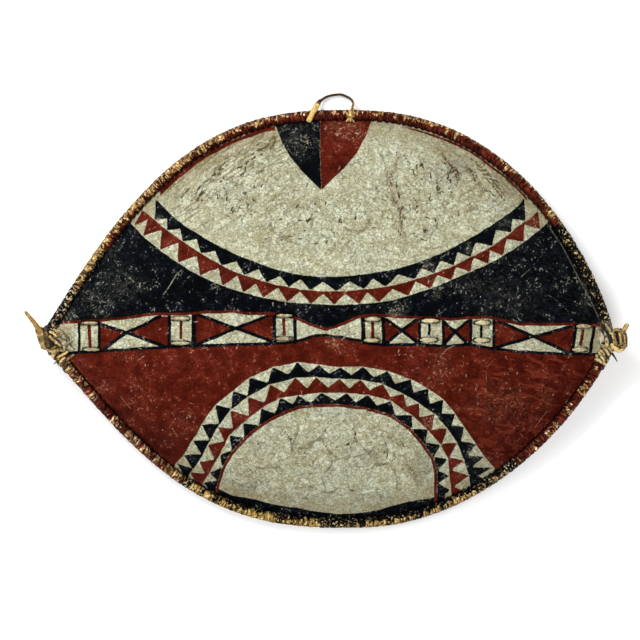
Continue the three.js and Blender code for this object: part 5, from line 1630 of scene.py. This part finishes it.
# thin dark strip: painted shade in a crease of the folded strap
strap(left, [(53.2, 337.4), (57.2, 340.0), (60.4, 343.4)], [0.5, 0.8, 0.4], 1.0, -0.8, 216, 6.6, 0.3)
strap(left, [(46.5, 349.2), (52, 351), (58, 350.6), (66, 349.4)], [1.2, 2.0, 1.8, 1.0], 1.5, 0.06, 213, 2.2)
strap(left, [(57.5, 357.4), (62, 355), (68.5, 351.5)], [1.0, 1.5, 1.0], 1.2, 0.24, 214, 2.4)
strap(left, [(66.5, 361), (70, 357), (75, 354.4)], [1.0, 1.5, 0.9], 1.2, -0.15, 215, 1.8)
add_point(left, [(-440, -24, LEFT_TOP - 4), (-442.5, -20, LEFT_TOP + 2), (-453, -5, LEFT_TOP + 1.5), (-467.3, 12, LEFT_TOP - 2)], 5.0, 2.3, 0.0, 81, chalk=-0.75)
add_point(left, [(-409, -56, LEFT_TOP - 14), (-415, -63, LEFT_TOP - 12), (-423.5, -71, LEFT_TOP - 12)], 2.0, 0.6, -0.66, 82)
left_tip = left.object("tip_binding_left_thongs", THONG_TAN)
right = Parts()
core(right, [(415, -35, 44), (434, -36, 47), (452, -37, 49), (464, -37, 49)], [9, 14, 13, 6], [7, 10, 10, 5], -0.75, 90)
core(right, [(447, -33.5, 49.5), (453, -33.5, 49.5), (458.5, -34, 49.5), (462.8, -34, 49)], [12.5, 12.5, 10.5, 6], [11.5, 11.5, 9.5, 5], -0.12, 91)
# folded strips over the coil's end
for dy, top, wide, tone, seed in ((-6.0, 59.0, 2.7, 0.16, 92), (0.4, 61.0, 3.0, -0.16, 93), (6.6, 59.0, 2.5, 0.05, 94)):
    end = catmull(np.array([(455.5, -33.8 + dy, top), (460.8, -33.8 + dy * 0.9, top - 4.0), (463.9, -33.8 + dy * 0.75, 49.4), (460.8, -33.8 + dy * 0.9, 44.4), (455.5, -33.8 + dy, 39.6)]), 8)
    end, _ = resample(end, False, 1.2)
    out = end - np.array([449.0, -33.8, 49.4])
    out[:, 1] *= 0.35
    out /= np.linalg.norm(out, axis=1, keepdims=True)
    right.add(sweep(end, False, out, np.full(len(end), wide), 1.1, 12, 0.62, 0.2, seed), tone)


def right_per(dy):
    per = np.linspace(0, PERIMETER, 4000, endpoint=False)
    c = rim_centre(per)
    ok = (c[:, 0] > 300) & (per > ARC_UP[-1])
    return float(per[ok][np.argmin(np.abs(c[ok][:, 1] - (TIP_Y + dy)))])


# broad turns round the roll below the tip
for dy, wide, tone, chalk, slant in ((-13.5, 2.6, -0.1, 0.2, -6), (-17.5, 2.4, 0.1, 0.3, -2), (-22.6, 2.2, -0.75, 0.0, -4), (-27.0, 2.6, -0.1, 0.2, -7), (-31.5, 2.6, 0.06, 0.3, -3), (-36.2, 1.8, -0.5, 0.0, -6)):
    add_turn(right, right_per(dy), wide, 1.3, tone, int(250 - dy * 3), slant, 0.0, chalk)
strap(right, [(602.4, 345.8), (605.6, 350.2), (609.0, 355.6)], [1.5, 1.7, 1.3], 1.3, 0.16, 260, 2.0, 0.3, 0.2, 0.4)
strap(right, [(605.4, 343.2), (608.8, 347.4), (612.2, 353.0)], [1.4, 1.8, 1.3], 1.3, 0.04, 261, 2.2, 0.3, -0.25, 0.3)
strap(right, [(595.6, 354.4), (598.4, 358.6), (601.4, 363.2)], [1.3, 1.7, 1.2], 1.3, 0.02, 262, 2.0, 0.3, 0.3, 0.45)
strap(right, [(598.2, 351.8), (601.4, 356.6), (604.6, 361.6)], [1.3, 1.6, 1.2], 1.3, 0.24, 263, 2.4, 0.3, -0.2, 0.35)
strap(right, [(600.8, 349.8), (604.0, 354.4), (607.2, 359.8)], [1.2, 1.6, 1.1], 1.3, -0.06, 264, 2.1, 0.3, 0.25, 0.2)
# thin dark strips: painted shade in the gaps between the folded strips
strap(right, [(603.6, 350.6), (606.0, 355.6), (606.6, 360.0)], [0.6, 0.9, 0.5], 1.0, -0.8, 265, 3.4, 0.2)
strap(right, [(600.8, 343.6), (603.4, 342.8), (605.6, 344.6)], [0.7, 1.0, 0.6], 1.0, -0.85, 266, 2.4, 0.2)
# strips that run in from the stave's end
strap(right, [(601, 325), (603.4, 334), (607, 343)], [0.8, 1.2, 0.8], 1.0, -0.5, 231, 1.0, chalk=0.2)
strap(right, [(602.8, 324.5), (606.5, 333), (611.2, 342), (614, 349)], [0.9, 1.2, 1.2, 0.8], 1.1, -0.66, 232, 1.8)
strap(right, [(605.2, 323.5), (609, 330), (611, 338)], [1.2, 1.9, 1.1], 1.2, -0.1, 233, 1.4, chalk=0.5)
strap(right, [(607.5, 322.8), (610.5, 327.5), (612.5, 333)], [1.0, 1.4, 0.8], 1.2, -0.3, 234, 1.8)
strap(right, [(596, 327), (600.5, 336), (602, 346)], [2.0, 3.4, 1.8], 0.9, 0.1, 235, 0.5, 0.3, 0.2, 0.95)
strap(right, [(604, 331), (606.5, 340), (607.5, 348)], [1.6, 2.6, 1.6], 0.9, 0.05, 236, 0.9, 0.3, -0.2, 0.9)
# coils round the tip
ring(right, 609.8, 339.5, 9.4, 12.2, 1.6, 1.6, 1.5, -0.66, 239)
ring(right, 612.6, 340.0, 9.6, 12.4, 1.8, 1.2, 1.7, 0.18, 240, 0.35, twist=-0.15, vary=0.2)
ring(right, 614.6, 340.6, 10.2, 13.0, 2.2, 1.3, 1.9, -0.12, 248, 0.1, twist=0.1, vary=0.25)
ring(right, 617.2, 339.4, 9.4, 12.0, 2.0, 1.1, 1.4, -0.8, 241)
ring(right, 619.2, 339.6, 10.2, 13.2, 1.8, 1.3, 2.0, 0.2, 242, 0.1, twist=0.1, vary=0.2)
ring(right, 621.4, 339.4, 10.0, 13.0, 1.4, 1.2, 1.9, -0.14, 249, twist=-0.2, vary=0.25)
ring(right, 623.4, 339.6, 8.4, 11.6, 0.9, 1.1, 1.9, 0.1, 243, twist=0.3, vary=0.2)
ring(right, 625.2, 340.0, 6.4, 9.8, 0.4, 1.1, 1.8, -0.3, 250, twist=0.45)
strap(right, [(610.6, 343.5), (614, 348), (619, 350.4), (623.5, 349.2)], [1.6, 2.6, 2.4, 1.2], 1.6, 0.22, 244, 5.5, 0.3)
strap(right, [(612.5, 331), (616.5, 329.6), (621, 331.4)], [1.2, 1.8, 1.2], 1.5, -0.1, 245, 5.5, 0.3)
strap(right, [(617.6, 346.2), (621.5, 343.8), (625.8, 345.2)], [1.0, 1.6, 1.0], 1.4, -0.3, 246, 6.0, 0.3)
# thin dark strip: painted shade in the slot between the coils
strap(right, [(616, 332), (617.6, 337), (618.6, 341)], [0.9, 1.3, 0.7], 1.2, -0.85, 247, 6.2)
add_point(right, [(454, -28, RIGHT_TOP - 3), (456.5, -22, RIGHT_TOP + 2), (460.5, -14.5, RIGHT_TOP + 2), (464.8, -7, RIGHT_TOP + 1)], 4.2, 3.4, 0.0, 85)
add_point(right, [(440, -52, RIGHT_TOP - 12), (445, -59, RIGHT_TOP - 10), (449.5, -67, RIGHT_TOP - 11)], 2.0, 0.6, -0.66, 87)
right_tip = right.object("tip_binding_right_thongs", THONG_TAN)
# the thong ends that tie the loop's right foot down over the roll
ties = Parts()
strap(ties, [(346.4, 121.4), (349.4, 116.6), (352.6, 111.6), (353.6, 107.4)], [0.9, 1.2, 1.3, 1.2], 1.1, 0.05, 251, 2.6, 0.12)
strap(ties, [(344.8, 110.6), (348.4, 114.6), (352.6, 119.4), (354.6, 122)], [0.8, 1.2, 1.2, 0.8], 1.1, -0.1, 252, 3.4, 0.12)
strap(ties, [(349, 108.8), (350.4, 114.4), (350.8, 121.4)], [0.9, 1.2, 0.9], 1.1, 0.16, 253, 4.4, 0.12)
strap(ties, [(346, 115.6), (350.5, 116.4), (355, 115.2)], [0.8, 1.1, 0.8], 1.0, -0.25, 254, 5.2, 0.12)
ties_ob = ties.object("hanging_loop_tie", LOOP_MATERIAL)
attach(ties_ob, "root")
for ob, node in ((left_tip, "tip_binding_left"), (right_tip, "tip_binding_right")):
    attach(ob, "root")
    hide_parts(node)

# =====================================================================================
# Floor and light
# =====================================================================================
bpy.ops.mesh.primitive_plane_add(size=60, location=(0, 0, -0.0004))
floor = bpy.context.object
floor.name = "floor"
fm = bpy.data.materials.new("floor_white")
fm.use_nodes = True
fb = fm.node_tree.nodes["Principled BSDF"]
fb.inputs["Base Color"].default_value = (0.93, 0.93, 0.93, 1)
fb.inputs["Roughness"].default_value = 1.0
fb.inputs["Specular IOR Level"].default_value = 0.0
fb.inputs["Emission Color"].default_value = (1, 1, 1, 1)
fb.inputs["Emission Strength"].default_value = 0.16
floor.data.materials.append(fm)
bpy.context.scene.view_settings.view_transform = "Standard"


def area(name, location, target, size_x, size_y, watts, colour=(1, 1, 1)):
    d = bpy.data.lights.new(name, "AREA")
    d.shape = "RECTANGLE"
    d.size, d.size_y, d.energy, d.color = size_x, size_y, watts, colour
    o = bpy.data.objects.new(name, d)
    bpy.context.scene.collection.objects.link(o)
    o.location = location
    from mathutils import Vector

    o.rotation_euler = (Vector(target) - Vector(location)).to_track_quat("-Z", "Y").to_euler()
    return o


area("key", (-1.5, 2.3, 2.4), (0, 0, 0), 1.7, 1.2, 112)
area("fill_right", (2.6, 0.9, 2.0), (0, 0, 0), 2.0, 2.0, 46)
area("fill_left", (-2.7, -0.4, 2.0), (0, 0, 0), 2.0, 2.0, 52)
area("fill_front", (0.3, -2.7, 2.1), (0, 0, 0), 2.6, 1.6, 50)
world = bpy.data.worlds.new("studio")
bpy.context.scene.world = world
world.use_nodes = True
world.node_tree.nodes["Background"].inputs["Color"].default_value = (1, 1, 1, 1)
world.node_tree.nodes["Background"].inputs["Strength"].default_value = 0.24
